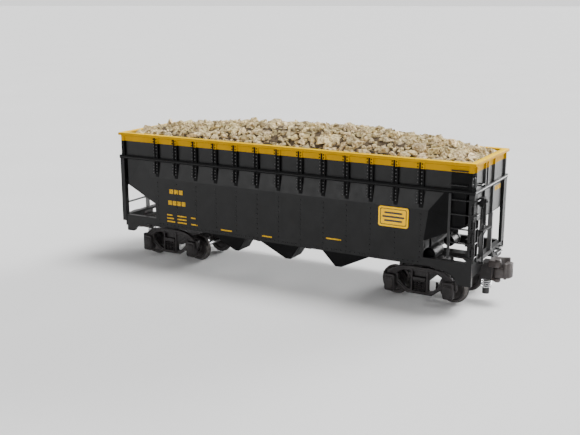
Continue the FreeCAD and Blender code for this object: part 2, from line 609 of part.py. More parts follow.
def grab_irons():
    """Bent wire hand holds: one on each end sheet and one on each end sill."""
    sheet_face, web = value("sheet_half"), value("end_sill_face")
    stand = value("end_face") + 1.4
    spans = [(1, -21.2, -16.8, 61.3, sheet_face), (-1, -21.2, -16.8, 61.3, sheet_face),
             (-1, 12.9, 18.5, 23.4, web), (1, 12.9, 18.5, 23.4, web)]
    irons = []
    for number, (side, low, high, height, foot) in enumerate(spans):
        points = [(foot, low), (stand, low), (stand, high), (foot, high)]
        path = [Vector(side * x, side * y, height) for x, y in points]
        irons.append(shaped(f"grab_iron_{number}", wire_tube(path, value("wire_radius"), 0.6)))
    node("grab_irons", group("grab_iron_set", irons))


def uncoupling_levers():
    """A cranked rod along each end sill with a handle at one side."""
    web = value("end_sill_face")
    front = web + 1.0
    points = [(web, 20.6, 20.8), (front, 20.6, 20.8), (front, 11.0, 20.8),
              (front + 0.6, 8.0, 23.6), (front + 0.6, 4.0, 24.2)]
    levers = []
    for end, side in (("a", 1), ("b", -1)):
        path = [Vector(side * x, side * y, z) for x, y, z in points]
        levers.append(shaped(f"lever_wire_{end}", wire_tube(path, value("wire_radius"), 0.7)))
    node("uncoupling_levers", group("lever_pair", levers))


def brake_housing():
    """The hand brake's gear housing on its bracket, with the shaft that the lever turns on."""
    case = block("brake_case", ("end_face + 0.05", "housing_face"), ("housing_in", "housing_out"),
                 ("housing_low", "housing_high"))
    bracket = block("brake_bracket", ("sheet_half", "end_face + 0.05"),
                    ("housing_in + 0.8", "housing_out - 0.2"), ("housing_low + 0.5", "housing_high - 0.5"))
    shaft = rod("brake_shaft", "pivot_radius", "x", "housing_face - 1",
                "housing_face + lever_gap + lever_thick + 0.3", ("hub_y", "hub_z"))
    node("brake_housing", fuse("brake_body", [case, bracket, shaft]))


def brake_lever():
    """The hanging lever that winds the hand brake."""
    along = ("housing_face + lever_gap", "housing_face + lever_gap + lever_thick")
    eye = rod("lever_eye", "lever_wide", "x", *along, ("hub_y", "hub_z"))
    bar = block("lever_bar", along, ("hub_y - lever_wide / 2", "hub_y + lever_wide / 2"),
                ("hub_z - lever_long", "hub_z"))
    grip = rod("lever_grip", "lever_wide * 0.75", "x", *along, ("hub_y", "hub_z - lever_long"))
    hole = rod("lever_hole", "pivot_radius + pivot_clear", "x", "housing_face - 1", "housing_face + 4",
               ("hub_y", "hub_z"))
    node("brake_lever", cut("lever", fuse("lever_stock", [eye, bar, grip]), hole))


def brake_platform():
    """The step under the hand brake, on two knees, with a hole for the brake rod."""
    low = "platform_high - platform_thick"
    step = block("step_plate", ("end_face", "platform_face"), ("platform_in", "platform_out"),
                 (low, "platform_high"))
    knee = [("end_face", low), ("platform_face - 0.8", low), ("end_face", f"{low} - knee_deep")]
    knees = [prism(f"step_knee_{number}", "XZ", knee, f"{centre} - 0.35", f"{centre} + 0.35")
             for number, centre in enumerate(("rib_pair_1", "platform_in + 0.35"))]
    hole = rod("step_hole", "rod_hole", "z", f"{low} - 1", "platform_high + 1", ("rod_x", "rod_y"))
    node("brake_platform", cut("step", fuse("step_stock", [step] + knees), hole))


def brake_rod():
    """The pull rod from the housing, down through the step to a guide on the end sill."""
    x, y = value("rod_x"), value("rod_y")
    path = [Vector(x, y, value("housing_low") + 1.6), Vector(x, y, 31.0), Vector(x, y + 0.8, 28.4),
            Vector(x, y + 0.8, value("end_sill_top") - 2.5)]
    pull = shaped("brake_rod_wire", wire_tube(path, value("wire_radius"), 1.5))
    lug = block("rod_lug", ("rod_x - 0.9", "rod_x + 0.9"), ("housing_out", "rod_y + 0.6"),
                ("housing_low + 1.2", "housing_low + 2.4"))
    guide = block("rod_guide", ("end_sill_face", "rod_x + 0.7"), ("rod_y", "rod_y + 1.6"),
                  ("end_sill_top - 2.6", "end_sill_top - 1.4"))
    node("brake_rod", fuse("brake_rod_set", [pull, lug, guide]))


def air_reservoir():
    """The reservoir hung under the slope sheet at end a."""
    tank = rod("tank_shell", "tank_radius", "y", "tank_in", "tank_out", ("tank_x", "tank_z"))
    tank_soft = doc.addObject("Part::Fillet", "tank_soft")
    tank_soft.Base = tank
    doc.recompute()
    edge = value("tank_edge")
    tank_soft.Edges = [(number, edge, edge) for number, ring in enumerate(tank.Shape.Edges, start=1)
                       if len(ring.Vertexes) == 1]
    strap = block("tank_hanger", ("tank_x - 1", "tank_x"), ("tank_in + 3", "tank_in + 4.5"),
                  ("tank_z", "hanger_high"))
    node("air_reservoir", fuse("tank", [tank_soft, strap]))


def brake_cylinder():
    """The brake cylinder with its cap and push rod, beside the reservoir."""
    centre = ("tank_x", "tank_z")
    case = rod("cylinder_case", "cylinder_radius", "y", "cylinder_in", "cylinder_out", centre)
    cap = rod("cylinder_cap", "cylinder_radius + 0.4", "y", "cylinder_out - 1", "cylinder_out", centre)
    push = rod("cylinder_push", "0.6", "y", "cylinder_in - 3.4", "cylinder_in", centre)
    hanger = block("cylinder_hanger", ("tank_x - 1", "tank_x"), ("cylinder_in + 3", "cylinder_in + 4.5"),
                   ("tank_z", "hanger_high"))
    node("brake_cylinder", fuse("cylinder", [case, cap, push, hanger]))


def control_valve():
    """The control valve on its stay, outboard of the brake cylinder."""
    body = block("valve_body", ("valve_x - 1.5", "valve_x + 1.5"), ("8.5", "12.5"),
                 ("tank_z - 2", "tank_z + 1.5"))
    cap = rod("valve_cap", "1.3", "y", "12.5", "14", ("valve_x", "tank_z - 0.3"))
    stay = block("valve_stay", ("valve_x - 0.5", "valve_x + 0.5"), ("9.5", "11.5"),
                 ("tank_z + 1.5", "valve_high"))
    node("control_valve", fuse("valve", [body, cap, stay]))


def placards():
    """A thin blank plate with rounded corners on each side."""
    plates = []
    corner = value("placard_corner")
    for name, side, across in (("near", 1, ("-lower_face - placard_thick", "-lower_face")),
                               ("far", -1, ("lower_face", "lower_face + placard_thick"))):
        centre = f"{side} * placard_x"
        along = (f"{centre} - placard_long / 2", f"{centre} + placard_long / 2")
        plate = block(f"placard_{name}_stock", along, across, ("placard_low", "placard_high"))
        rounded = doc.addObject("Part::Fillet", f"placard_{name}")
        rounded.Base = plate
        doc.recompute()
        rounded.Edges = [(number, corner, corner) for number, edge in enumerate(plate.Shape.Edges, start=1)
                         if abs(edge.tangentAt(edge.FirstParameter).y) > 0.9]
        plates.append(rounded)
    node("placards", group("placard_pair", plates))


# ---------------------------------------------------------------- load

def stone_load():
    """The lift-out load: a tray-shaped base under a heap whose crest varies along the car."""
    half_wide, low, edge = value("load_half_wide"), value("load_low"), value("load_edge")
    crest, half_long = value("crest_half"), value("load_half_long")
    stations = ((-half_long, 70.6), (-86.0, 75.0), (-32.0, 80.2), (28.0, 82.0), (71.0, 79.0), (half_long, 72.4))
    sections = []
    for x, top in stations:
        shoulder = edge + (top - edge) * 0.55
        corners = [(-half_wide, low), (half_wide, low), (half_wide, edge), (half_wide * 0.7, shoulder),
                   (crest, top), (-crest, top), (-half_wide * 0.7, shoulder), (-half_wide, edge)]
        outline = [Vector(x, y, z) for y, z in corners]
        sections.append(Part.makePolygon(outline + outline[:1]))
    node("stone_load", shaped("load_heap", Part.makeLoft(sections, True, True)))


# ---------------------------------------------------------------- trucks

def frame_outline():
    """The edge of a truck side frame, as (along, up) corners from one top end round to the other."""
    half = [("6.4", "frame_top"), ("12.6", "15.6"), ("17.6", "box_high"), ("17.6", "box_high - 1.5"),
            ("11.8", "box_high - 2.4"), ("11.6", "6.6"), ("6.2", "frame_low")]
    return half + [(f"-{x}", z) for x, z in reversed(half)]


def side_frames(label, along, turn):
    """A pair of cast side frames with journal boxes, springs, windows and journal holes."""
    window = [("4.6", "14.9"), ("8.0", "14.9"), ("11.0", "12.6"), ("10.4", "9.0"), ("6.4", "6.4"), ("4.6", "6.4")]
    frames = []
    for name, side in (("near", -1), ("far", 1)):
        part = f"{label}_{name}"
        inner, outer = ("-frame_out", "-frame_in") if side < 0 else ("frame_in", "frame_out")
        box_across = ("-box_out", "-frame_in") if side < 0 else ("frame_in", "box_out")
        proud = ("-frame_out - spring_proud", "-frame_out")
        drill = ("-journal_end - 0.3", "-frame_in + 1")
        if side > 0:
            proud = ("frame_out", "frame_out + spring_proud")
            drill = ("frame_in - 1", "journal_end + 0.3")
        parts = [prism(f"{part}_plate", "XZ", frame_outline(), inner, outer)]
        holes = []
        for number, sign in enumerate((1, -1)):
            centre = f"{sign} * wheelbase / 2"
            parts.append(block(f"{part}_box_{number}", (f"{centre} - box_half", f"{centre} + box_half"),
                               box_across, ("box_low", "box_high")))
            spring = f"{sign} * spring_x"
            parts.append(block(f"{part}_spring_{number}", (f"{spring} - spring_half", f"{spring} + spring_half"),
                               proud, ("spring_seat", "spring_high")))
            mirrored = [(f"{sign} * {x}", z) for x, z in window]
            holes.append(prism(f"{part}_window_{number}", "XZ", mirrored, f"{inner} - 1", f"{outer} + 1"))
            holes.append(rod(f"{part}_journal_{number}", "journal_hole", "y", *drill, (centre, "axle_high")))
        frames.append(cut(part, fuse(f"{part}_stock", parts), group(f"{part}_holes", holes)))
    node(label, group(label + "_pair", frames), along=along, turn=turn)


def truck_bolster(label, along, turn):
    """The crosswise bolster, drilled and recessed for the swivel screw."""
    beam = block(label + "_beam", ("-bolster_half_long", "bolster_half_long"), ("-frame_in", "frame_in"),
                 ("bolster_low", "bolster_high"))
    boss = rod(label + "_boss", "boss_radius", "z", "bolster_high", "boss_high", ("0", "0"))
    hole = rod(label + "_hole", "screw_radius + screw_clear", "z", "bolster_low - 1", "boss_high + 1", ("0", "0"))
    recess = rod(label + "_recess", "recess_radius", "z", "bolster_low - 1", "recess_high", ("0", "0"))
    drilled = cut(label + "_drilled", fuse(label + "_stock", [beam, boss]), fuse(label + "_bore", [hole, recess]))
    node(label, drilled, along=along, turn=turn)


def coupler_arm(label, along, turn):
    """The drawbar from the bolster out to the coupler head."""
    arm = block(label + "_arm", ("bolster_half_long", "shank_back"), ("-arm_half", "arm_half"),
                ("arm_low", "arm_high"))
    shank = block(label + "_shank", ("shank_back", "shank_front"), ("-shank_half", "shank_half"),
                  ("shank_low", "shank_high"))
    hole = rod(label + "_hole", "plunger_hole", "z", "shank_low - 1", "hole_top", ("plunger_x", "0"))
    node(label, cut(label + "_drilled", fuse(label + "_stock", [arm, shank]), hole), along=along, turn=turn)


def coupler_head(label, along, turn):
    """The head casting: upper and lower jaws round the knuckle, a guard arm and the knuckle's pin."""
    outline = [("shank_front", "head_half"), ("knuckle_x + 0.9", "head_half"),
               ("guard_front", "head_half + 1.2"), ("guard_front", "head_half + 1.2 - guard_thick"),
               ("knuckle_x", "1.2"), ("knuckle_x", "knuckle_y - 1.4"), ("shank_front", "-head_half")]
    pivot = ("knuckle_x", "knuckle_y")
    low, high = "knuckle_low - knuckle_gap", "knuckle_high + knuckle_gap"
    head = prism(label + "_casting", "XY", outline, "head_low", "head_high")
    lug = rod(label + "_lug", "lug_radius", "z", "head_low", "head_high", pivot)
    room = rod(label + "_room", "knuckle_room", "z", low, high, pivot)
    back = "knuckle_x - 1.1"
    front = [(back, "1.4"), ("knuckle_reach", "1.4"), ("knuckle_reach", "-head_half - 3"),
             (back, "-head_half - 3")]
    mouth = prism(label + "_mouth", "XY", front, low, high)
    pin = rod(label + "_pin", "knuckle_pin", "z", "head_low", "head_high", pivot)
    jaws = cut(label + "_jaws", fuse(label + "_stock", [head, lug]), fuse(label + "_space", [room, mouth]))
    node(label, fuse(label + "_pinned", [jaws, pin]), along=along, turn=turn)


def knuckle(label, along, turn):
    """The hooked jaw that swings open on the head's pin, taller at the nose than between the jaws."""
    x, y = value("knuckle_x"), value("knuckle_y")
    low, high = value("knuckle_low"), value("knuckle_high")
    reach, tail = value("knuckle_reach"), value("knuckle_tail")
    nose = Vector(reach, -0.8, low)
    heel = Part.Arc(Vector(x, y - tail, low), Vector(x - tail, y, low), Vector(x, y + tail, low))
    corners = [Vector(x, y + tail, low), Vector(x + 2.2, y + tail, low), Vector(x + 2.9, 1.6, low),
               Vector(reach - 1.2, 2.0, low), Vector(reach, 1.2, low), nose]
    back = Part.Arc(nose, Vector(x + 4.6, y - 0.6, low), Vector(x, y - tail, low))
    edges = [heel.toShape()]
    edges += [Part.LineSegment(start, end).toShape() for start, end in zip(corners, corners[1:])]
    edges.append(back.toShape())
    outline = Part.Face(Part.Wire(edges))
    tall = value("nose_high") - low
    start = value("nose_x")
    front = Part.makeBox(reach, 2 * reach, tall, Vector(start, -reach, low))
    nose_block = outline.extrude(Vector(0, 0, tall)).common(front)
    hook = outline.extrude(Vector(0, 0, high - low)).fuse(nose_block).removeSplitter()
    bore = value("knuckle_pin") + value("knuckle_clear")
    hole = Part.makeCylinder(bore, high - low + 2, Vector(x, y, low - 1))
    node(label, shaped(label + "_hook", hook.cut(hole)), along=along, turn=turn)


def trip_plunger(label, along, turn):
    """The sliding pin under the coupler with its knob."""
    pin = rod(label + "_pin", "plunger_radius", "z", "knob_low", "plunger_top", ("plunger_x", "0"))
    knob = rod(label + "_knob", "knob_radius", "z", "knob_low", "knob_high", ("plunger_x", "0"))
    node(label, fuse(label + "_piece", [pin, knob]), along=along, turn=turn)


def trip_spring(label, along, turn):
    """The return spring round the plunger, between the knob and the shank."""
    wire, low = value("spring_wire"), value("knob_high") + value("spring_wire") + 0.02
    height = value("shank_low") - value("knob_high") - 2 * value("spring_wire") - 0.04
    radius = value("spring_radius") - value("spring_wire")
    path = Part.makeHelix(height / value("spring_turns"), height, radius)
    path.translate(Vector(value("plunger_x"), 0, low))
    start = Vector(value("plunger_x") + radius, 0, low)
    circle = Part.Wire(Part.makeCircle(wire, start, Vector(0, 1, 0.2)))
    coil = Part.Wire(path.Edges).makePipeShell([circle], True, True)
    node(label, shaped(label + "_coil", coil), along=along, turn=turn)


def wheelset(truck, number, along, turn):
    """An axle with pointed journals and two flanged wheels pressed on it."""
    centre = f"{along} + {1 if turn == 0 else -1} * ({number}) * wheelbase / 2"
    axle_outline = [("-journal_end", "0"), ("-journal_end", "journal_radius * 0.6"),
                    ("-journal_end + 0.5", "journal_radius"), ("-axle_shoulder", "journal_radius"),
                    ("-axle_shoulder", "axle_radius"), ("axle_shoulder", "axle_radius"),
                    ("axle_shoulder", "journal_radius"), ("journal_end - 0.5", "journal_radius"),
                    ("journal_end", "journal_radius * 0.6"), ("journal_end", "0")]
    name = f"{truck}{1 if number > 0 else 2}"
    node(f"axle_{name}", revolved(f"axle_{name}_turned", axle_outline), along=centre, up="axle_high", turn=turn)
    middle = "(flange_in + wheel_out) / 2"
    inner_web, outer_web = f"{middle} - web_thick / 2", f"{middle} + web_thick / 2"
    outline = [("flange_in", "axle_radius"), ("flange_in", "hub_radius"), (inner_web, "hub_radius + 0.5"),
               (inner_web, "tread_radius - 1.5"), ("flange_in", "tread_radius - 1"),
               ("flange_in", "flange_radius - 0.3"), ("flange_in + 0.3", "flange_radius"),
               ("flange_out - 0.2", "flange_radius - 0.1"), ("flange_out + 0.2", "tread_radius"),
               ("wheel_out", "tread_radius - 0.15"), ("wheel_out", "tread_radius - 1"),
               (outer_web, "tread_radius - 1.5"), (outer_web, "hub_radius + 0.5"),
               ("wheel_out", "hub_radius"), ("wheel_out", "axle_radius")]
    wheels = []
    for side, word in ((1, "far"), (-1, "near")):
        mirrored = [(f"{side} * ({across})", up) for across, up in outline]
        wheels.append(revolved(f"wheel_{name}_{word}", mirrored))
    node(f"wheels_{name}", group(f"wheel_pair_{name}", wheels), along=centre, up="axle_high", turn=turn)


def truck(letter, along, turn):
    """One four-wheel truck with the coupler that it carries."""
    side_frames(f"side_frames_{letter}", along, turn)
    truck_bolster(f"truck_bolster_{letter}", along, turn)
    coupler_arm(f"coupler_arm_{letter}", along, turn)
    coupler_head(f"coupler_head_{letter}", along, turn)
    knuckle(f"knuckle_{letter}", along, turn)
    trip_plunger(f"trip_plunger_{letter}", along, turn)
    trip_spring(f"trip_spring_{letter}", along, turn)
    for number in (1, -1):
        wheelset(letter, number, along, turn)


# ---------------------------------------------------------------- the car

side_sheet("side_sheet_near", 0)
side_sheet("side_sheet_far", HALF_TURN)
top_rim()
belt = belt_rail()
side_posts(belt)
end_posts()
corner_posts()
for end, turn in (("a", 0), ("b", HALF_TURN)):
    end_sheet(f"end_sheet_{end}", turn)
    slope_sheet(f"slope_sheet_{end}", turn)
    end_sill(f"end_sill_{end}", turn)
    truck_screw(f"truck_screw_{end}", turn)
for bay in (1, 2, 3):
    hopper_bay(bay)
bin_floor()
cross_ridges()
centre_sill()
body_bolsters()
side_sills()
side_ladders()
end_ladders()
grab_irons()
uncoupling_levers()
brake_housing()
brake_lever()
brake_platform()
brake_rod()
air_reservoir()
brake_cylinder()
control_valve()
placards()
stone_load()
truck("a", "truck_centre", 0)
truck("b", "-truck_centre", HALF_TURN)

sheet.clear(SCRATCH_CELL)
doc.recompute()
for item in doc.Objects:
    if {"Invalid", "Error"} & set(item.State):
        raise RuntimeError(f"{item.Name} ({item.Label}) failed: {item.State}")
for item in nodes:
    if item.Shape.isNull() or not item.Shape.isValid() or not item.Shape.Solids:
        raise RuntimeError(f"{item.Label} has no valid shape")

os.makedirs("parts", exist_ok=True)
for item in nodes:
    item.Shape.exportStep(f"parts/{item.Label}.step")
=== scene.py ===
import json
import math
import random

import bmesh
import bpy
from mathutils import Matrix, Vector, noise


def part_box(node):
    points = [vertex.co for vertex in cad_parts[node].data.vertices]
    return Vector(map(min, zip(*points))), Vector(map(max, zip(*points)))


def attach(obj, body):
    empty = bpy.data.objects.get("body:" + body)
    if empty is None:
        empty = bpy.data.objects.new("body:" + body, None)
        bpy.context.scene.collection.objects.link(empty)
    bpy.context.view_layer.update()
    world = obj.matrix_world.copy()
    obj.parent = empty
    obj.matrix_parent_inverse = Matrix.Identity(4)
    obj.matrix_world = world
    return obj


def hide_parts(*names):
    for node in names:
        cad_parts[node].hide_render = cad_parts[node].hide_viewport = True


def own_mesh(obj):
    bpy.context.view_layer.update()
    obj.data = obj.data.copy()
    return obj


# The looks of a model three-bay hopper car with a heaped stone load, on two four-wheel trucks.
# X runs along the car, Y across it and Z up from the rails. End b is end a turned half round.
# Shapes are in millimetres and turn into metres in Piece.build. Materials, camera, lamps and floor
# are in metres.

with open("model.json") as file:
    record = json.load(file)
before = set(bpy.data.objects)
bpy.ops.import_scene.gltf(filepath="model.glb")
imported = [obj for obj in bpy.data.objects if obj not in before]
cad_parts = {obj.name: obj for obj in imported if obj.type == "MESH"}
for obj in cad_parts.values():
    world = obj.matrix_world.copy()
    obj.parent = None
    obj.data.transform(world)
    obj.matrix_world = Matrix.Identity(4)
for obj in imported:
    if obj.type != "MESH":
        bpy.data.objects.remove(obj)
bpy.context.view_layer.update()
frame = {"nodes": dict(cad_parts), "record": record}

MM = 0.001
SIDES = (-1, 1)
BOTH_ENDS = (0.0, math.pi)  # turns about Z that put a shape on end a's corner and on end b's

# the body: where its ribs stand, half widths over its faces, and heights
RIB_PITCH = 12.857
RIBS = [(number - 6) * RIB_PITCH for number in range(13)]
UPPER_FACE, BAND_FACE, LOWER_FACE = 24.1, 24.8, 25.3
SHOULDER_LOW, BELT_LOW, BELT_HIGH, LIP_LOW = 48.0, 57.2, 59.0, 70.3
PLACARD_X, PLACARD_Z, PLACARD_LONG, PLACARD_TALL = 63.5, 42.7, 15.4, 9.8

# the trucks: axles, trip plunger and knuckle pin from the swivel, which is TRUCK_X from the middle
TRUCK_X = 75.0
AXLE_X, AXLE_Z = 15.0, 7.55
PLUNGER_X = 27.5
PIN_X, PIN_Y = 33.8, -3.4


# ---------------------------------------------------------------- materials

def material(name, dark, light, rough, mottle=120.0, grain=2500.0, bump=0.00002, metallic=0.0,
             specular=0.5, spread=(0.35, 0.65), tint=""):
    """A painted or cast surface: two shades mottled by noise, uneven gloss and a fine grain."""
    made = bpy.data.materials.new(name)
    made.use_nodes = True
    nodes, links = made.node_tree.nodes, made.node_tree.links
    shader = nodes["Principled BSDF"]
    shader.inputs["Metallic"].default_value = metallic
    shader.inputs["Specular IOR Level"].default_value = specular
    place = nodes.new("ShaderNodeTexCoord")

    def grainy(scale, detail):
        texture = nodes.new("ShaderNodeTexNoise")
        texture.inputs["Scale"].default_value = scale
        texture.inputs["Detail"].default_value = detail
        links.new(place.outputs["Object"], texture.inputs["Vector"])
        return texture.outputs["Fac"]

    ramp = nodes.new("ShaderNodeValToRGB")
    for stop, where, colour in zip(ramp.color_ramp.elements, spread, (dark, light)):
        stop.position = where
        stop.color = (*colour, 1)
    links.new(grainy(mottle, 5.0), ramp.inputs["Fac"])
    colour = ramp.outputs["Color"]
    if tint:
        shade = nodes.new("ShaderNodeAttribute")
        shade.attribute_name = tint
        mix = nodes.new("ShaderNodeMix")
        mix.data_type = "RGBA"
        mix.blend_type = "MULTIPLY"
        mix.inputs[0].default_value = 1.0
        links.new(colour, mix.inputs[6])
        links.new(shade.outputs["Color"], mix.inputs[7])
        colour = mix.outputs[2]
    links.new(colour, shader.inputs["Base Color"])

    gloss = nodes.new("ShaderNodeMapRange")
    gloss.inputs["From Min"].default_value = 0.3
    gloss.inputs["From Max"].default_value = 0.7
    gloss.inputs["To Min"].default_value = rough[0]
    gloss.inputs["To Max"].default_value = rough[1]
    links.new(grainy(mottle * 2.7, 3.0), gloss.inputs["Value"])
    links.new(gloss.outputs["Result"], shader.inputs["Roughness"])

    relief = nodes.new("ShaderNodeBump")
    relief.inputs["Strength"].default_value = 0.6
    relief.inputs["Distance"].default_value = bump
    links.new(grainy(grain, 6.0), relief.inputs["Height"])
    links.new(relief.outputs["Normal"], shader.inputs["Normal"])
    return made


def casting(name, dark, light, rough, specular):
    """Cast metal with a little more grain than paint."""
    return material(name, dark, light, rough, mottle=350.0, grain=4200.0, bump=0.00006,
                    specular=specular)


def yellow(name, dark, light, rough, mottle=90.0, specular=0.03):
    """Matt yellow paint."""
    return material(name, dark, light, rough, mottle=mottle, specular=specular)


BLACK = material("satin_black", (0.0030, 0.0030, 0.0032), (0.0058, 0.0058, 0.0061), (0.34, 0.42),
                 specular=0.225)
# Painted sheen: the body's black with a lighter base and full specular, for the end sheets and end posts, so
# the ends look lit by a grazing light.
SHEEN_BLACK = material("end_black_painted_sheen", (0.0075, 0.0075, 0.008), (0.0115, 0.0115, 0.012), (0.28, 0.36),
                 specular=1.0)
# Painted shade: a darker, less glossy copy of the body black. It goes on the ribs, belt rail, rib webs,
# corner facets, rivets on the band, and the fittings and hopper bays under the car, standing in for the
# shade on and around them.
SHADE_BLACK = material("painted_shade_black", (0.0015, 0.0015, 0.0017), (0.003, 0.003, 0.0033), (0.4, 0.5),
                specular=0.08)
# Painted highlight: rivet heads in a much lighter black than the paint they stand on, so they read as lit
# dots.
RIVET_HIGHLIGHT = material("rivet_painted_highlight", (0.03, 0.03, 0.031), (0.045, 0.045, 0.046), (0.24, 0.34), specular=0.7)
WIRE = material("wire_black", (0.008, 0.008, 0.0085), (0.014, 0.014, 0.0145), (0.34, 0.46),
                mottle=300.0, specular=0.3)
FITTING = material("fitting_black", (0.008, 0.008, 0.0085), (0.015, 0.0145, 0.0145), (0.45, 0.6),
                   mottle=250.0, specular=0.22)
YELLOW = yellow("band_yellow", (0.44, 0.235, 0.0), (0.48, 0.26, 0.0), (0.4, 0.55))
# Painted highlight and painted shadow: the band's yellow made bright for the lit top edge of the rim, and
# dark for the shade under the lip.
TOP_HIGHLIGHT_YELLOW = yellow("painted_highlight_yellow", (1.0, 0.60, 0.0), (1.0, 0.64, 0.0), (0.4, 0.55))
SHADED = yellow("painted_shadow_yellow", (0.22, 0.11, 0.0), (0.27, 0.14, 0.0), (0.5, 0.6))
PLATE = yellow("plate_yellow", (1.0, 0.54, 0.0), (1.0, 0.58, 0.0), (0.35, 0.45), mottle=120.0)
MARK = yellow("print_yellow", (0.40, 0.22, 0.0), (0.80, 0.46, 0.01), (0.42, 0.55), mottle=1500.0,
              specular=0.1)
PRINT = material("print_black", (0.012, 0.012, 0.012), (0.022, 0.02, 0.018), (0.4, 0.5), mottle=600.0)
STONE = material("tan_stone", (0.32, 0.22, 0.10), (1.0, 0.85, 0.52), (0.7, 0.9), mottle=750.0,
                 grain=1700.0, bump=0.0008, specular=0.2, spread=(0.34, 0.60), tint="shade")
# Painted shade: the bed is dark brown so the gaps between the stones read as stones in shade.
BED_SHADE = material("load_bed_painted_shade", (0.05, 0.034, 0.018), (0.15, 0.105, 0.058), (0.85, 0.97),
                   mottle=500.0, bump=0.0004)
CASTING = casting("truck_grey", (0.0125, 0.0105, 0.0108), (0.0240, 0.0208, 0.0212), (0.42, 0.58), 0.28)
COUPLER = casting("coupler_brown", (0.034, 0.0265, 0.025), (0.062, 0.050, 0.047), (0.36, 0.5), 0.5)
PLUNGER = material("plunger_black", (0.014, 0.013, 0.013), (0.026, 0.025, 0.025), (0.4, 0.55),
                   mottle=300.0)
SPRING = material("spring_bright", (0.55, 0.55, 0.56), (0.72, 0.72, 0.73), (0.18, 0.3), mottle=700.0,
                  metallic=1.0)
WHEEL = material("wheel_black", (0.030, 0.027, 0.027), (0.058, 0.053, 0.052), (0.36, 0.5),
                 mottle=260.0, metallic=0.5, bump=0.00003)
TREAD = material("tread_worn", (0.07, 0.065, 0.062), (0.13, 0.12, 0.115), (0.3, 0.44), mottle=800.0,
                 metallic=0.9)
STEEL = material("plain_steel", (0.28, 0.28, 0.29), (0.40, 0.40, 0.41), (0.26, 0.4), mottle=500.0,
                 metallic=1.0)

SLOT_LOOKS = {
    "black_body": BLACK, "black_wire": WIRE, "black_fitting": FITTING, "yellow_band": YELLOW,
    "placard_yellow": PLATE, "stone": BED_SHADE, "truck_casting": CASTING, "plunger_black": PLUNGER,
    "spring_wire": SPRING, "wheel_metal": WHEEL, "axle_steel": STEEL, "screw_steel": STEEL,
}
# Parts whose look differs from their slot's: the darker black is painted shade, and the lighter black on the
# ends is painted sheen.
NODE_LOOKS = {
    "side_posts": SHADE_BLACK, "belt_rail": SHADE_BLACK, "air_reservoir": SHADE_BLACK, "brake_cylinder": SHADE_BLACK,
    "control_valve": SHADE_BLACK, "hopper_bay_1": SHADE_BLACK, "hopper_bay_2": SHADE_BLACK, "hopper_bay_3": SHADE_BLACK,
    "end_sheet_a": SHEEN_BLACK, "end_sheet_b": SHEEN_BLACK, "end_posts": SHEEN_BLACK,
}
for part in frame["record"]["subparts"]:
    shown = frame["nodes"][part["node"]].data
    shown.materials.clear()
    shown.materials.append(NODE_LOOKS.get(part["node"], SLOT_LOOKS[part["material_slot"]]))


# ---------------------------------------------------------------- mesh helpers

def linked(name, content):
    """A new object that holds a mesh, a light or a camera, in the scene."""
    item = bpy.data.objects.new(name, content)
    bpy.context.scene.collection.objects.link(item)
    return item


class Piece:
    """Collects faces in millimetres and turns them into one Blender object."""

    merge, sliver = 1e-7, 1e-8

    def __init__(self):
        self.points = []
        self.faces = []
        self.looks = []

    def add(self, shape, place=None, look=0):
        """Adds a shape at a place, in one of the looks that build is given."""
        points, faces = shape
        start = len(self.points)
        if place is not None:
            points = [place @ Vector(point) for point in points]
        self.points.extend(points)
        self.faces.extend([start + corner for corner in face] for face in faces)
        self.looks.extend([look] * len(faces))
        return self

    def build(self, name, looks, body, slot, replaced=(), smooth=35.0, weld=True):
        """Makes the object. Edges sharper than the smooth angle stay sharp, and 0 leaves all flat."""
        mesh = bpy.data.meshes.new(name)
        mesh.from_pydata([[length * MM for length in point] for point in self.points], [], self.faces)
        for look in looks:
            mesh.materials.append(look)
        mesh.polygons.foreach_set("material_index", self.looks)
        if weld:
            work = bmesh.new()
            work.from_mesh(mesh)
            bmesh.ops.remove_doubles(work, verts=work.verts, dist=self.merge)
            bmesh.ops.dissolve_degenerate(work, edges=work.edges, dist=self.sliver)
            bmesh.ops.recalc_face_normals(work, faces=work.faces)
            work.to_mesh(mesh)
            work.free()
        if smooth:
            mesh.polygons.foreach_set("use_smooth", [True] * len(mesh.polygons))
            mesh.set_sharp_from_angle(angle=math.radians(smooth))
        mesh.validate()
        item = linked(name, mesh)
        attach(item, body)
        if replaced:
            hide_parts(*replaced)
        return item


def taken(work):
    """The points and faces of a bmesh, which is then freed."""
    work.verts.index_update()
    points = [point.co.copy() for point in work.verts]
    faces = [[point.index for point in face.verts] for face in work.faces]
    work.free()
    return points, faces


def soft_box(low, high, bevel=0.25, steps=2):
    """A block with rounded edges between two corners."""
    low, high = Vector(low), Vector(high)
    work = bmesh.new()
    bmesh.ops.create_cube(work, size=1.0)
    for point in work.verts:
        point.co = [low[axis] + (point.co[axis] + 0.5) * (high[axis] - low[axis]) for axis in range(3)]
    bmesh.ops.bevel(work, geom=work.edges, offset=bevel, segments=steps, affect="EDGES", profile=0.5)
    return taken(work)


def side_block(side, along, outwards, up, bevel):
    """A soft block on one side of the car, from its ranges along, outwards and up."""
    near, far = sorted((side * outwards[0], side * outwards[1]))
    return soft_box((along[0], near, up[0]), (along[1], far, up[1]), bevel)


def slab(corners, thick, sunk=0.2):
    """A thin plate on a flat polygon whose corners run anticlockwise as seen from outside."""
    corners = [Vector(corner) for corner in corners]
    normal = (corners[1] - corners[0]).cross(corners[2] - corners[1]).normalized()
    count = len(corners)
    points = [corner + normal * thick for corner in corners] + [corner - normal * sunk for corner in corners]
    faces = [tuple(range(count)), tuple(reversed(range(count, 2 * count)))]
    faces += [(k, count + k, count + (k + 1) % count, (k + 1) % count) for k in range(count)]
    return points, faces


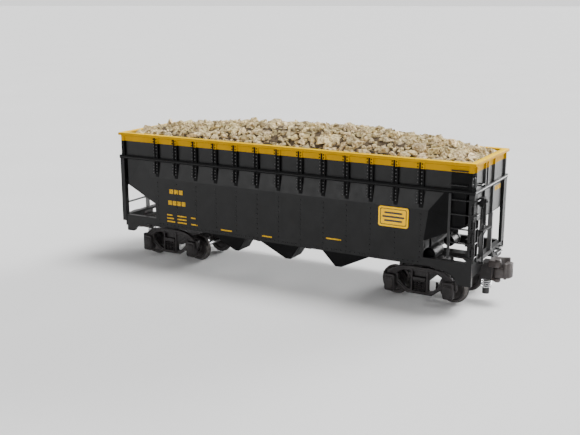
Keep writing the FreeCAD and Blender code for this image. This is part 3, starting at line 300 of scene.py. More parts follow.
def lathe(outline, sides):
    """A closed outline of (radius, height) pairs turned about the Z axis."""
    points = []
    for step in range(sides):
        turn = math.tau * step / sides
        across, away = math.cos(turn), math.sin(turn)
        points.extend(Vector((radius * across, radius * away, height)) for radius, height in outline)
    count = len(outline)
    faces = []
    for step in range(sides):
        here, there = step * count, (step + 1) % sides * count
        for first in range(count):
            second = (first + 1) % count
            faces.append((here + first, there + first, there + second, here + second))
    return points, faces


def tube(path, radius, sides=8, loop=False):
    """A round wire along a list of points, with flat ends unless it closes on itself."""
    path = [Vector(point) for point in path]
    count = len(path)
    points, faces = [], []
    side = None
    for index, here in enumerate(path):
        before = path[index - 1] if index or loop else here
        after = path[(index + 1) % count] if index + 1 < count or loop else here
        along = (after - before).normalized()
        side = (along.orthogonal() if side is None else side - along * side.dot(along)).normalized()
        up = along.cross(side)
        for step in range(sides):
            turn = math.tau * step / sides
            points.append(here + (side * math.cos(turn) + up * math.sin(turn)) * radius)
    for number in range(count if loop else count - 1):
        here, there = number * sides, (number + 1) % count * sides
        for step in range(sides):
            ahead = (step + 1) % sides
            faces.append((here + step, here + ahead, there + ahead, there + step))
    if not loop:
        faces.append(tuple(range(sides)))
        faces.append(tuple((count - 1) * sides + step for step in range(sides)))
    return points, faces


def helix(radius, low, high, turns, wire, sides=8, steps=18):
    """A coil spring round the Z axis, with its last turn at each end closed up."""
    path = []
    total = int(turns * steps)
    for step in range(total + 1):
        part = step / total
        flat = min(1.0, part * turns, (1 - part) * turns)
        rise = part + (0.5 * (1 - flat) / turns) * (-1 if part < 0.5 else 1)
        turn = math.tau * turns * part
        height = low + (high - low) * min(1.0, max(0.0, rise))
        path.append((radius * math.cos(turn), radius * math.sin(turn), height))
    return tube(path, wire, sides)


def curved(start, bend, end, part):
    """A point some part of the way along a curve from a start to an end, pulled towards a bend."""
    return (start * (1 - part) ** 2 + bend * 2 * part * (1 - part) + end * part ** 2)[:]


def rounded(corners, radius, steps=3):
    """A closed outline with each corner turned into a small arc."""
    loop = []
    count = len(corners)
    for index in range(count):
        here = Vector(corners[index])
        back, ahead = Vector(corners[index - 1]) - here, Vector(corners[(index + 1) % count]) - here
        reach = min(radius, 0.45 * back.length, 0.45 * ahead.length)
        start, end = here + back.normalized() * reach, here + ahead.normalized() * reach
        loop += [curved(start, here, end, step / steps) for step in range(steps + 1)]
    return loop


def oblong(left, low, right, high):
    """The corners of a rectangle, anticlockwise from the lower left one."""
    return [(left, low), (right, low), (right, high), (left, high)]


def flipped(outline):
    """An outline seen in a mirror, still running the same way round."""
    return [(-across, up) for across, up in reversed(outline)]


def mirrored(half):
    """A closed outline from its right half, listed from the top middle round to the bottom middle."""
    return half + flipped(half)


def plate(loops, thick, bevel=0.2):
    """A flat piece with rounded edges: the first outline is its outside, the others are holes."""
    curve = bpy.data.curves.new("outline", "CURVE")
    curve.dimensions = "2D"
    curve.fill_mode = "BOTH"
    curve.extrude = thick / 2 - bevel
    curve.bevel_depth = bevel
    curve.bevel_resolution = 1
    curve.offset = -bevel
    for loop in loops:
        spline = curve.splines.new("POLY")
        spline.points.add(len(loop) - 1)
        for point, (across, up) in zip(spline.points, loop):
            point.co = (across, up, 0, 1)
        spline.use_cyclic_u = True
    holder = bpy.data.objects.new("outline", curve)
    mesh = bpy.data.meshes.new_from_object(holder)
    points = [point.co.copy() for point in mesh.vertices]
    faces = [list(face.vertices) for face in mesh.polygons]
    bpy.data.objects.remove(holder)
    bpy.data.curves.remove(curve)
    bpy.data.meshes.remove(mesh)
    return points, faces


def dome(radius, height, sides=8):
    """A rivet head that stands on the XY plane, with its foot sunk a little under it."""
    foot, shoulder_in, shoulder_up = -0.05, 0.72, 0.75
    turns = [math.tau * k / sides for k in range(sides)]
    points = [Vector((radius * math.cos(turn), radius * math.sin(turn), foot)) for turn in turns]
    points += [Vector((point.x * shoulder_in, point.y * shoulder_in, height * shoulder_up))
               for point in points]
    points.append(Vector((0, 0, height)))
    faces = [(k, (k + 1) % sides, sides + (k + 1) % sides, sides + k) for k in range(sides)]
    faces += [(sides + k, sides + (k + 1) % sides, 2 * sides) for k in range(sides)]
    return points, faces


def facing(normal, at=(0, 0, 0)):
    """Turns the Z axis to a direction and moves the origin to a point."""
    return Matrix.Translation(Vector(at)) @ Vector(normal).to_track_quat("Z", "Y").to_matrix().to_4x4()


def upright(side, middle):
    """Stands a flat plate along the car: its Y goes up and its face looks out to one side."""
    return Matrix(((1, 0, 0, 0), (0, 0, side, side * middle), (0, 1, 0, 0), (0, 0, 0, 1)))


def crosswise(middle):
    """Stands a flat plate across the car: its Y goes up and its face looks out of end a."""
    return Matrix(((0, 0, 1, middle), (1, 0, 0, 0), (0, 1, 0, 0), (0, 0, 0, 1)))


def about_z(turn):
    """A turn about the car's upright middle axis."""
    return Matrix.Rotation(turn, 4, "Z")


def end_place(end):
    """From an end's own coordinates, with X outwards from the truck's swivel, to the car's."""
    return about_z(math.pi if end == "b" else 0.0) @ Matrix.Translation((TRUCK_X, 0, 0))


# ---------------------------------------------------------------- camera, lamps and floor

CAMERA_AT = (0.223274, -0.405643, 0.141086)
CAMERA_DROP, CAMERA_TURN = 0.2363, 0.5172  # below level, and round from looking straight at the side
CAMERA_LENS, CAMERA_FILM = 54.97, 36.0
FLOOR_HALF = 60.0
LAMPS_AIM = Vector((0, 0, 0.04))
SKY_LOW, SKY_HIGH = (0.12, 1.32), (0.55, 0.3)  # upward part of a direction, and brightness there
LAMPS = (
    # kind, name, where it stands, power, and its angle in degrees or its width
    ("SUN", "key", (0.45, 0.35, 1.2), 3.75, 26),
    ("SUN", "sheen", (0.34, 0.94, 0.16), 8.0, 34),
    ("SUN", "glance", (-0.46, -0.886, 0.07), 0.42, 10),
    ("AREA", "front", (-0.5, -1.2, 0.9), 1.1, 1.0),
)


def stage():
    """The camera and a wide pale floor."""
    camera = linked("camera", bpy.data.cameras.new("camera"))
    camera.location = CAMERA_AT
    camera.rotation_euler = (math.pi / 2 - CAMERA_DROP, 0, CAMERA_TURN)
    camera.data.lens = CAMERA_LENS
    camera.data.sensor_width = CAMERA_FILM
    camera.data.clip_start = 0.01
    bpy.context.scene.camera = camera

    floor = bpy.data.meshes.new("floor")
    corners = [(x, y, 0) for x, y in oblong(-FLOOR_HALF, -FLOOR_HALF, FLOOR_HALF, FLOOR_HALF)]
    floor.from_pydata(corners, [], [(0, 1, 2, 3)])
    floor.materials.append(material("floor_white", (0.86, 0.86, 0.86), (0.88, 0.88, 0.88), (0.75, 0.85),
                                    mottle=9.0, grain=60.0, bump=0.0001, specular=0.2))
    ground = linked("floor", floor)


def lights():
    """A white sky that is brightest near the horizon, and the lamps.

    The key stands high behind, the sheen glances off the end, the glance off the slanted shoulder,
    and the front is a weak fill.
    """
    world = bpy.data.worlds.new("studio")
    world.use_nodes = True
    nodes, links = world.node_tree.nodes, world.node_tree.links
    nodes["Background"].inputs["Color"].default_value = (1.0, 1.0, 1.0, 1)
    direction = nodes.new("ShaderNodeTexCoord")
    split = nodes.new("ShaderNodeSeparateXYZ")
    fade = nodes.new("ShaderNodeMapRange")
    fade.interpolation_type = "SMOOTHSTEP"
    fade.inputs["From Min"].default_value, fade.inputs["To Min"].default_value = SKY_LOW
    fade.inputs["From Max"].default_value, fade.inputs["To Max"].default_value = SKY_HIGH
    links.new(direction.outputs["Generated"], split.inputs["Vector"])
    links.new(split.outputs["Z"], fade.inputs["Value"])
    links.new(fade.outputs["Result"], nodes["Background"].inputs["Strength"])
    bpy.context.scene.world = world

    for kind, name, at, power, size in LAMPS:
        light = bpy.data.lights.new(name, kind)
        light.energy = power
        if kind == "SUN":
            light.angle = math.radians(size)
        else:
            light.size = size
        lamp = linked(name, light)
        lamp.matrix_world = facing(Vector(at) - LAMPS_AIM, at)
        lamp.visible_camera = False


# ---------------------------------------------------------------- body details

def rivets():
    """Rivet heads on and beside the ribs and down the lower panels, and the web of every rib. The rib rivets
    are a lighter black as a painted highlight, and those on the band a darker black as painted shade. Each
    web is raised relief in the darker black, as painted shade beside its rib.
    """
    ribs, panels, webs = Piece(), Piece(), Piece()
    head = dome(0.40, 0.32)
    # rivets on the yellow band take look 1, the darker black, as painted shade
    on_band_shade = 1
    lean = 0.13  # of the slanted shoulder
    web_in, web_out, web_face = 0.7, 1.4, 25.75
    plate_low, plate_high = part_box("placards")
    placard_low, placard_high = plate_low.z / MM - 0.6, plate_high.z / MM + 0.6

    def put(target, side, x, face, z, tilt=0.0, look=0):
        target.add(head, facing((0, side, tilt), (x, side * face, z)), look)

    for side in SIDES:
        for rib in RIBS:
            beside = rib + side * 2.4
            for step in range(4):
                height = 60.4 + 1.75 * step
                put(ribs, side, beside, UPPER_FACE, height)
                put(ribs, side, rib, LOWER_FACE, height)
                height = 51.0 + 1.55 * step
                down = (BELT_LOW - height) / (BELT_LOW - SHOULDER_LOW)
                put(ribs, side, beside, UPPER_FACE + (LOWER_FACE - UPPER_FACE) * down, height, lean)
                put(ribs, side, rib, LOWER_FACE, height)
            for height in (67.9, 69.4):
                put(ribs, side, beside, BAND_FACE, height, look=on_band_shade)
                put(ribs, side, rib, LOWER_FACE, height, look=on_band_shade)
            # each web is real relief, coloured in the darker black as painted shade beside the rib
            across = sorted((rib + side * web_in, rib + side * web_out))
            for up in ((BELT_HIGH + 0.1, LIP_LOW), (SHOULDER_LOW + 2.4, BELT_LOW - 0.1)):
                webs.add(side_block(side, across, (UPPER_FACE - 0.3, web_face), up, 0.12))
            for step in range(9):
                height = 45.6 - 2.6 * step
                behind_placard = abs(rib + side * PLACARD_X) < 8.2 and placard_low < height < placard_high
                if not behind_placard:
                    put(panels, side, rib, LOWER_FACE, height)
        for step in range(61):
            put(panels, side, -76.5 + 2.55 * step, LOWER_FACE, 22.3)
    ribs.build("rivets_ribs", [RIVET_HIGHLIGHT, SHADE_BLACK], "car_body", "black_body", smooth=60.0, weld=False)
    panels.build("rivets_panels", [BLACK], "car_body", "black_body", smooth=60.0, weld=False)
    webs.build("rib_webs_painted_shade", [SHADE_BLACK], "car_body", "black_body")


def corner_painted_shade():
    """Thin plates in the darker black over the slanting facets and the recessed strip behind each ladder:
    painted shade for the shade at the corners.
    """
    crease, seam_top = (88.1, -UPPER_FACE, BELT_LOW), (98.5, -UPPER_FACE, BELT_LOW)
    seam_low = (98.5, -UPPER_FACE, 42.2)
    bend, notch = (81.0, -LOWER_FACE, SHOULDER_LOW), (79.0, -LOWER_FACE, 33.3)
    facets = ((crease, seam_low, seam_top), (crease, bend, seam_low), (bend, notch, seam_low))
    shade_strip = soft_box((91.0, -UPPER_FACE - 0.1, 59.1), (99.5, -UPPER_FACE + 0.2, 67.1), 0.04, 1)
    piece = Piece()
    for turn in BOTH_ENDS:
        for corners in facets:
            piece.add(slab(corners, 0.08), about_z(turn))
        piece.add(shade_strip, about_z(turn))
    piece.build("corner_painted_shade", [SHADE_BLACK], "car_body", "black_body", smooth=0)


def rim_lip():
    """The rounded lip round the top, with a painted highlight along its top edge and a painted shadow line
    under it, and the bead on the belt.
    """
    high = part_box("top_rim")[1]
    edge_x, edge_y, top = high.x / MM, high.y / MM, high.z / MM
    # outside and inside edge from the rim's box, middle height, thickness, bevel and look; the second ring
    # is a painted highlight on the top edge and the third a painted shadow under the lip
    rings = ((0.05, -3.2, top - 0.62, 1.3, 0.3, 0), (-0.15, -3.05, top + 0.05, 0.3, 0.1, 1),
             (-1.13, -2.6, top - 1.4, 0.45, 0.05, 2))
    piece = Piece()
    for outside, inside, middle, thick, bevel, look in rings:
        loops = []
        for grow in (outside, inside):
            x, y = edge_x + grow, edge_y + grow
            loops.append(rounded(oblong(-x, -y, x, y), 0.6))
        piece.add(plate(loops, thick, bevel), Matrix.Translation((0, 0, middle)), look)
    piece.build("rim_lip", [YELLOW, TOP_HIGHLIGHT_YELLOW, SHADED], "car_body", "yellow_band")

    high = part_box("belt_rail")[1]
    x, y = high.x / MM - 0.2, high.y / MM - 0.2
    middle = (BELT_LOW + BELT_HIGH) / 2
    path = [(*point, middle) for point in rounded(oblong(-x, -y, x, y), 0.8)]
    bead = Piece().add(tube(path, 0.45, 10, loop=True))
    bead.build("belt_bead", [BLACK], "car_body", "black_body")


def block_row(left, low, count, pitch, wide, tall):
    """Plain blocks side by side, each as the corners of a rectangle."""
    lefts = [left + pitch * number for number in range(count)]
    return [oblong(start, low, start + wide, low + tall) for start in lefts]


def markings():
    """Plain painted blocks and bars where such a car carries its data."""
    thick, bevel, round_by = 0.16, 0.03, 0.25
    blocks = block_row(-69.1, 40.2, 3, 3.2, 2.5, 2.4) + block_row(-70.0, 33.9, 4, 3.0, 2.4, 2.4)
    for number, low in enumerate((27.7, 25.9, 24.1)):
        high = low + 0.75
        blocks += [oblong(-71.2, low, -67.4 + 0.8 * number, high), oblong(-64.2, low, -58.0, high)]
        if number != 1:
            blocks.append(oblong(-55.0, low, -52.0 + 0.6 * number, high))
    blocks += [oblong(-35.5, 23.6, -28.5, 24.3), oblong(-9.8, 23.6, -3.8, 24.3)]
    blocks.append(oblong(27.6, 27.3, 36.0, 28.0))
    piece = Piece()
    for side in SIDES:
        for corners in blocks:
            outline = rounded(corners, round_by, 2)
            shown = outline if side < 0 else [(-across, up) for across, up in outline]
            piece.add(plate([shown], thick, bevel), upright(side, LOWER_FACE))
    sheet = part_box("end_sheet_a")[1].x / MM
    for turn in BOTH_ENDS:
        for corners in block_row(9.0, 53.2, 4, 2.4, 1.8, 2.2):
            bar = plate([rounded(corners, round_by, 2)], thick, bevel)
            piece.add(bar, about_z(turn) @ crosswise(sheet))
    piece.build("marking_bars", [MARK], "car_body", "placard_yellow")


def placard_borders():
    """A plain border and three bars on each placard."""
    thick, bevel = 0.14, 0.03
    piece = Piece()
    for side in SIDES:
        middle = -side * PLACARD_X
        place = upright(side, LOWER_FACE + 0.25)

        def about_middle(half_wide, half_tall, raised=0.0):
            height = PLACARD_Z + raised
            return oblong(middle - half_wide, height - half_tall, middle + half_wide, height + half_tall)

        border = [rounded(about_middle(PLACARD_LONG / 2 - inset, PLACARD_TALL / 2 - inset), 0.8)
                  for inset in (0.9, 1.25)]
        piece.add(plate(border, thick, bevel), place)
        for raised, half_wide in ((-1.9, 4.6), (0.0, 5.6), (1.9, 4.6)):
            piece.add(plate([rounded(about_middle(half_wide, 0.45, raised), 0.3)], thick, bevel), place)
    piece.build("placard_border", [PRINT], "car_body", "placard_yellow")


def brake_details():
    """Front plate and hub of the hand brake and the chain that hangs from it."""
    plate_x, hub_y, hub_z = 104.84, -16.7, 53.2
    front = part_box("brake_housing")[1].x / MM
    piece = Piece()
    piece.add(plate([rounded(oblong(-18.3, 51.1, -15.1, 54.9), 0.6)], 0.3, 0.1), crosswise(plate_x))
    piece.add(lathe([(0, -0.1), (0.5, -0.1), (0.5, 0.2), (0.35, 0.35), (0, 0.35)], 20),
              facing((1, 0, 0), (front - 0.1, hub_y, hub_z)))
    piece.build("brake_plate", [FITTING], "car_body", "black_fitting")

    chain_x, chain_y, chain_top, pitch = 103.8, -16.2, 50.2, 1.25
    link_wide, link_tall, link_straight, wire = 0.42, 0.45, 0.35, 0.13
    chain = Piece()
    for link in range(8):
        turn = 0.0 if link % 2 else math.pi / 2
        path = []
        for step in range(16):
            angle = math.tau * step / 16
            across = link_wide * math.cos(angle)
            rise = link_tall * math.sin(angle) + math.copysign(link_straight, math.sin(angle))
            path.append((across * math.cos(turn), across * math.sin(turn), rise))
        hangs = Matrix.Translation((chain_x, chain_y, chain_top - pitch * link))
        chain.add(tube(path, wire, 6, loop=True), hangs)
    chain.build("brake_chain", [WIRE], "car_body", "black_wire")


def corner_loops():
    """Upright wire loops on the ladder corners, between the side rungs and one above the belt."""
    out, inside, left, right = -26.1, -25.2, 101.6, 102.9
    first, pitch = 30.4, 6.6
    piece = Piece()
    for number in (0, 1, 2, 3, 5):
        middle = first + pitch * number
        corners = oblong(left, middle - 2.2, right, middle + 2.2)
        path = [(x, out, z) for x, z in rounded(corners, 0.5)]
        for turn in BOTH_ENDS:
            piece.add(tube(path, 0.28, 8, loop=True), about_z(turn))
            for height in (middle - 1.2, middle + 1.2):
                foot = [(left + 0.1, out, height), (left + 0.1, inside, height)]
                piece.add(tube(foot, 0.24, 8), about_z(turn))
    piece.build("corner_loops", [WIRE], "car_body", "black_wire")


# ---------------------------------------------------------------- load

CREST = ((-99.6, 70.9), (-86.0, 74.9), (-60.0, 77.4), (-32.0, 79.9), (28.0, 81.2), (50.0, 80.2),
         (71.0, 78.4), (90.0, 75.0), (99.6, 72.0))  # distance along the car, and height there
HEAP_FOOT, HEAP_HALF, HEAP_ROUND = 70.2, 22.6, 2.3
STONE_GRADES = (
    # smallest and largest stone, tries to place one, closest spacing for its size, how far it sinks
    (6.8, 9.8, 2200, 0.60, 0.9),
    (4.2, 6.4, 9000, 0.50, 0.6),
    (2.2, 3.8, 20000, 0.46, 0.6),
)
STONE_SEED, STONE_SHAPES = 64, 48
CELL = 6  # of the grid in which near stones are looked up
NOISE_SHIFTS = [Vector((9.3, -1.5, -8.0)), Vector((0, 0, 0)), Vector((6.3, 0.2, -2.7))]


def heap_top(x, y):
    """Height of the heap: a crest that varies along the car and falls to the rim on both sides."""
    crest = CREST[-1][1]
    for (left, start), (right, end) in zip(CREST, CREST[1:]):
        if x <= right:
            crest = start + (end - start) * max(0.0, (x - left) / (right - left))
            break
    fall = max(0.0, 1 - (abs(y) / HEAP_HALF) ** HEAP_ROUND)
    bumps = noise.noise(Vector((x * 0.06, y * 0.09, 3.7))) * 0.9
    return HEAP_FOOT + (crest - HEAP_FOOT) * fall + bumps * min(1.0, fall * 2)


def load_bed_painted_shade(half_long, half_wide, bottom):
    """A bed under the stones, dark as painted shade in the gaps between them: the heap's surface, lowered,
    on a closed block.
    """
    lowered, across, along = 1.2, 13, 61
    points, faces = [], []
    for row in range(along):
        x = -half_long + 2 * half_long * row / (along - 1)
        for column in range(across):
            y = -half_wide + 2 * half_wide * column / (across - 1)
            points.append(Vector((x, y, heap_top(x, y) - lowered)))
    base = len(points)
    points += [Vector((point.x, point.y, bottom)) for point in points]
    for row in range(along - 1):
        for column in range(across - 1):
            a = row * across + column
            faces.append((a, a + across, a + across + 1, a + 1))
            faces.append((base + a, base + a + 1, base + a + across + 1, base + a + across))
    rim = [row * across for row in range(along)]
    rim += [(along - 1) * across + column for column in range(1, across)]
    rim += [row * across + across - 1 for row in range(along - 2, -1, -1)]
    rim += list(range(across - 2, 0, -1))
    for here, there in zip(rim, rim[1:] + rim[:1]):
        faces.append((here, there, base + there, base + here))
    bed = Piece().add((points, faces))
    bed.build("load_bed_painted_shade", [BED_SHADE], "load", "stone", replaced=["stone_load"], smooth=0)


def stone_shapes(count, dice):
    """Jagged stones about one unit across: hulls of a few random points with blunted edges."""
    shapes = []
    for _ in range(count):
        work = bmesh.new()
        for _ in range(dice.choice((7, 8, 9, 11))):
            direction = Vector([dice.gauss(0, 1) for _ in range(3)]).normalized()
            work.verts.new(direction * dice.uniform(0.42, 0.60))
        hull = bmesh.ops.convex_hull(work, input=work.verts)
        loose = [item for item in hull["geom_interior"] if isinstance(item, bmesh.types.BMVert)]
        bmesh.ops.delete(work, geom=loose, context="VERTS")
        bmesh.ops.dissolve_limit(work, angle_limit=math.radians(10), verts=work.verts, edges=work.edges)
        bmesh.ops.bevel(work, geom=work.edges, offset=0.018, segments=1, affect="EDGES", profile=0.5)
        shapes.append(taken(work))
    return shapes


def scattered(half_long, half_wide, dice):
    """Where the stones lie: x, y, size and how far each sinks, large ones first, small ones between."""
    placed = []
    cells = {}
    for size_low, size_high, tries, spacing, sink in STONE_GRADES:
        for _ in range(tries):
            size = dice.uniform(size_low, size_high)
            x = dice.uniform(-half_long + size * 0.3, half_long - size * 0.3)
            y = dice.uniform(-half_wide + size * 0.3, half_wide - size * 0.3)
            column, row = int(x // CELL), int(y // CELL)
            near = [other for i in (-1, 0, 1) for j in (-1, 0, 1)
                    for other in cells.get((column + i, row + j), [])]
            if all((x - a) ** 2 + (y - b) ** 2 > ((size + s) / 2 * spacing) ** 2 for a, b, s in near):
                cells.setdefault((column, row), []).append((x, y, size))
                placed.append((x, y, size, sink))
    return placed


def stone_place(x, y, size, sink, dice):
    """Turns a stone at random, flattens it, leans it a little and sets it on the heap."""
    turn = Matrix.Rotation(dice.uniform(0, math.tau), 4, dice.choice("XYZ"))
    turn = turn @ Matrix.Rotation(dice.uniform(0, math.tau), 4, dice.choice("XYZ"))
    squat = Matrix.Diagonal((size * dice.uniform(0.95, 1.3), size * dice.uniform(0.75, 1.05),
                             size * dice.uniform(0.6, 0.9), 1))
    lean = Matrix.Rotation(dice.gauss(0, 0.35), 4, "X") @ Matrix.Rotation(dice.gauss(0, 0.35), 4, "Y")
    spin = about_z(dice.uniform(0, math.tau))
    height = heap_top(x, y) - size * 0.16 - sink + dice.uniform(-0.5, 0.4)
    return Matrix.Translation((x, y, height)) @ spin @ lean @ squat @ turn


def stones():
    """A heap of separate angular stones, each in its own shade, on the bed."""
    low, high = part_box("stone_load")
    half_long, half_wide, bottom = high.x / MM, high.y / MM, low.z / MM
    load_bed_painted_shade(half_long, half_wide, bottom)
    dice = random.Random(STONE_SEED)
    shapes = stone_shapes(STONE_SHAPES, dice)
    heap = Piece()
    shades = []
    for x, y, size, sink in scattered(half_long, half_wide, dice):
        points, faces = dice.choice(shapes)
        place = stone_place(x, y, size, sink, dice)
        moved = []
        for point in points:
            spot = place @ point
            spot += Vector([noise.noise(spot * 0.8 + shift) for shift in NOISE_SHIFTS]) * size * 0.04
            spot.x = max(-half_long, min(half_long, spot.x))
            spot.y = max(-half_wide, min(half_wide, spot.y))
            spot.z = max(bottom + 0.3, spot.z)
            moved.append(spot)
        heap.add((moved, faces))
        tone = dice.uniform(0.62, 1.15)
        shade = (tone, tone * dice.uniform(0.95, 1.0), tone * dice.uniform(0.84, 0.99), 1.0)
        shades.extend([shade] * len(points))
    item = heap.build("load_stones", [STONE], "load", "stone", smooth=0, weld=False)
    layer = item.data.color_attributes.new("shade", "FLOAT_COLOR", "POINT")
    layer.data.foreach_set("color", [part for shade in shades for part in shade])


# ---------------------------------------------------------------- trucks

SIDE_FRAME_Y = 17.1


def frame_castings(piece, place, side):
    """One side frame: the pierced casting, its raised chords and columns, and the spring nest."""
    arch = [(5.6, 17.7), (9.4, 17.3), (12.4, 16.4), (15.0, 14.9), (17.2, 13.0)]
    under_arch = [(16.2, 12.2), (14.2, 13.9), (11.8, 15.4), (9.1, 16.3), (5.4, 16.6)]
    pedestal = [(18.1, 11.2), (17.8, 9.8), (12.6, 9.4), (11.9, 8.2), (6.3, 3.9)]
    window = [(4.7, 15.4), (8.6, 15.2), (11.6, 13.4), (11.4, 10.6), (6.7, 6.2), (4.7, 5.9)]
    lower_chord = [(6.1, 5.2), (11.8, 9.7), (12.4, 8.6), (6.5, 4.0)]
    loops = [rounded(mirrored(arch + pedestal), 0.8), rounded(window, 0.7), rounded(flipped(window), 0.7),
             rounded(oblong(-3.5, 5.5, 3.5, 15.2), 0.5)]
    piece.add(plate(loops, 2.0, 0.3), place @ upright(side, SIDE_FRAME_Y))
    raised = place @ upright(side, 18.25)
    piece.add(plate([rounded(mirrored(arch + under_arch), 0.5)], 0.7, 0.2), place @ upright(side, 18.3))
    piece.add(plate([rounded(mirrored(lower_chord), 0.4)], 0.6, 0.2), raised)
    for x in (-4.0, 4.0):
        piece.add(plate([rounded(oblong(x - 0.5, 5.2, x + 0.5, 16.4), 0.3)], 0.6, 0.2), raised)
    piece.add(side_block(side, (-3.3, 3.3), (15.9, 18.9), (10.6, 12.7), 0.3), place)
    piece.add(side_block(side, (-3.6, 3.6), (15.9, 18.7), (4.9, 5.6), 0.2), place)
    piece.add(side_block(side, (-3.5, 3.5), (15.8, 16.9), (5.2, 15.6), 0.2), place)
    for x in (-2.2, 0.0, 2.2):
        coil = helix(0.82, 5.5, 10.8, 5.5, 0.24, 6, 14)
        piece.add(coil, place @ Matrix.Translation((x, side * 17.4, 0)))
    for x in (-6.9, 6.9):
        piece.add(dome(0.45, 0.35, 6), place @ facing((0, side, 0), (x, side * 18.65, 17.2)))


def journal_box(piece, place, side, x):
    """The box round an axle's end, with its lid, hinge and bolts, and the guides beside it."""
    box = rounded(oblong(x - 2.8, 3.9, x + 2.8, 12.6), 1.5, 5)
    lid = rounded(oblong(x - 2.1, 4.9, x + 2.1, 10.6), 1.0, 4)
    piece.add(plate([box], 4.2, 0.6), place @ upright(side, 18.1))
    piece.add(plate([lid], 0.6, 0.2), place @ upright(side, 20.3))
    hinge = [(x - 1.6, side * 20.2, 11.0), (x + 1.6, side * 20.2, 11.0)]
    piece.add(tube(hinge, 0.42, 10), place)
    piece.add(side_block(side, (x - 0.45, x + 0.45), (20.0, 20.8), (10.0, 11.2), 0.15), place)
    for across in (-1.5, 1.5):
        piece.add(dome(0.4, 0.35, 6), place @ facing((0, side, 0), (x + across, side * 20.55, 5.6)))
    for across in (-3.3, 3.3):
        along = (x + across - 0.6, x + across + 0.6)
        piece.add(side_block(side, along, (16.2, 18.6), (8.6, 13.2), 0.25), place)


def brake_beam(piece, place, away):
    """A beam across the truck with a shoe at each end; away is 1 or -1, towards its wheels."""
    x = 6.6 * away
    piece.add(soft_box((x - 0.45, -12.4, 6.3), (x + 0.45, 12.4, 7.3), 0.2), place)
    shoe = [(-0.2, 4.6), (0.9, 4.9), (0.45, 6.8), (0.9, 9.2), (-0.2, 9.4)]
    outline = [(x + along * away, up) for along, up in shoe]
    for side in SIDES:
        piece.add(plate([outline[::away]], 1.6, 0.2), place @ upright(side, 12.1))


def truck_frames(end):
    """Both side frames of a truck and its two brake beams."""
    piece = Piece()
    place = end_place(end)
    for side in SIDES:
        frame_castings(piece, place, side)
        for x in (-AXLE_X, AXLE_X):
            journal_box(piece, place, side, x)
    for away in (-1, 1):
        brake_beam(piece, place, away)
    piece.build(f"truck_frames_{end}", [CASTING], f"truck_{end}", "truck_casting",
                replaced=[f"side_frames_{end}"])


def wheel_pair(name, along):
    """Two flanged wheels with dished webs, hubs, polished treads and filleted flanges."""
    # radius, and distance from the car's middle: hub, outer face of the web, tread, flange, inner face
    outline = [(1.2, 10.3), (2.1, 10.3), (2.3, 10.5), (2.5, 11.35), (4.9, 11.35), (5.4, 11.1), (5.6, 10.4),
               (6.9, 10.3), (7.3, 10.38), (7.52, 10.6), (7.5, 10.8), (7.2, 11.0), (6.8, 11.12), (6.6, 11.35),
               (6.52, 11.8), (6.45, 13.1), (6.3, 13.3), (5.5, 13.3), (5.3, 13.1), (5.1, 12.35), (2.7, 12.25),
               (2.4, 12.5), (2.3, 13.2), (2.1, 13.4), (1.2, 13.4)]
    tread = range(11, 16)  # the outline's stretches that run on the rail
    points, faces = lathe(outline, 56)
    looks = [1 if number % len(outline) in tread else 0 for number in range(len(faces))]
    piece = Piece()
    for side in SIDES:
        start = len(piece.faces)
        piece.add((points, faces), Matrix.Translation((along, 0, AXLE_Z)) @ facing((0, side, 0)))
        piece.looks[start:] = looks
    piece.build(f"wheel_pair_{name}", [WHEEL, TREAD], f"wheelset_{name}", "wheel_metal",
                replaced=[f"wheels_{name}"])


# ---------------------------------------------------------------- couplers

def add_layer(piece, place, outline, low, high, bevel):
    """Adds a level plate between two heights."""
    middle = Matrix.Translation((0, 0, (low + high) / 2))
    piece.add(plate([outline], high - low, bevel), place @ middle)


def coupler_head(end):
    """The fixed head: shelves above and below the knuckle, the guard arm between them and the pin."""
    place = end_place(end)
    mouth = [(33.8, 4.9), (37.3, 6.2), (37.4, 4.8), (35.0, 3.2)]
    lobe = [(33.9, 1.4), (33.7, -0.8), (34.9, -1.8), (35.6, -3.4), (34.9, -4.9), (33.4, -5.2)]
    upper = rounded([(29.3, 4.2), *mouth, *lobe, (29.3, -4.4)], 0.6)
    lower = rounded([(31.2, 3.8), *mouth, *lobe, (31.2, -4.2)], 0.6)
    guard = rounded([(31.1, 4.0), *mouth, (33.2, 1.6), (31.8, -0.2), (31.3, -1.6), (31.1, -1.7)], 0.4)
    pin = [(0, 11.5), (1.2, 11.5), (1.4, 11.7), (1.4, 12.2), (0.85, 12.4), (0.85, 21.7), (1.3, 21.8),
           (1.4, 22.2), (1.1, 22.5), (0, 22.6)]
    head = Piece()
    add_layer(head, place, upper, 18.6, 21.9, 0.4)
    add_layer(head, place, lower, 11.9, 13.5, 0.35)
    add_layer(head, place, guard, 12.3, 21.5, 0.35)
    head.add(soft_box((31.0, -4.0, 12.3), (31.45, 3.6, 19.0), 0.1), place)
    head.add(lathe(pin, 24), place @ Matrix.Translation((PIN_X, PIN_Y, 0)))
    head.build(f"coupler_casting_{end}", [COUPLER], f"truck_{end}", "truck_casting",
               replaced=[f"coupler_head_{end}"])


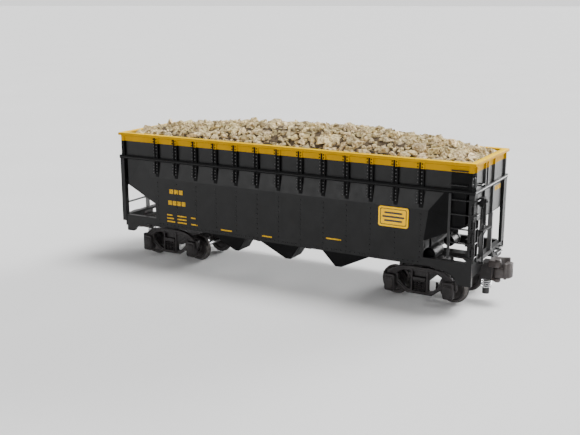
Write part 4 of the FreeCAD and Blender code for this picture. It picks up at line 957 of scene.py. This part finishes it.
def coupler_knuckle(end):
    """The swinging jaw: a round hub about the pin, a curved arm, a tall nose and a rib on its back."""
    place = end_place(end)
    hub, reach = 1.7, 40.0
    outline = [(PIN_X + hub * math.cos(angle), PIN_Y + hub * math.sin(angle))
               for angle in (math.radians(270 - 18 * step) for step in range(11))]
    outline += [(PIN_X + 2.0, PIN_Y + 1.7), (PIN_X + 2.8, 1.5), (reach - 1.4, 1.95), (reach - 0.4, 1.8),
                (reach, 1.0), (reach, -0.8)]
    start, bend, finish = Vector((reach, -0.8)), Vector((reach - 0.6, -4.6)), Vector((PIN_X, PIN_Y - hub))
    outline += [curved(start, bend, finish, step / 8) for step in range(1, 8)]
    nose = rounded([(36.8, 1.55), (38.7, 1.95), (reach, 1.5), (reach, -1.0), (39.4, -2.8), (38.2, -4.0),
                    (36.8, -4.3)], 0.5)
    rib = rounded([(37.0, -3.1), (38.3, -3.1), (38.3, -4.5), (37.0, -4.7)], 0.4)
    jaw = Piece()
    add_layer(jaw, place, outline, 13.75, 18.35, 0.25)
    add_layer(jaw, place, nose, 13.7, 21.0, 0.35)
    add_layer(jaw, place, rib, 13.4, 21.1, 0.3)
    jaw.build(f"coupler_knuckle_{end}", [COUPLER], f"knuckle_{end}", "truck_casting",
              replaced=[f"knuckle_{end}"])


def return_coil(end):
    """The coil spring round the trip plunger, built at one length in a mesh of its own."""
    coil = Piece()
    turns = helix(2.32, 6.9, 11.7, 5.0, 0.28, 8, 20)
    coil.add(turns, end_place(end) @ Matrix.Translation((PLUNGER_X, 0, 0)))
    item = coil.build(f"return_coil_{end}", [SPRING], f"truck_{end}", "spring_wire",
                      replaced=[f"trip_spring_{end}"])
    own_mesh(item)


stage()
lights()
rivets()
corner_painted_shade()
rim_lip()
markings()
placard_borders()
brake_details()
corner_loops()
stones()
for end, outwards in (("a", 1), ("b", -1)):
    truck_frames(end)
    coupler_head(end)
    coupler_knuckle(end)
    return_coil(end)
    wheel_pair(f"{end}1", outwards * (TRUCK_X + AXLE_X))
    wheel_pair(f"{end}2", outwards * (TRUCK_X - AXLE_X))
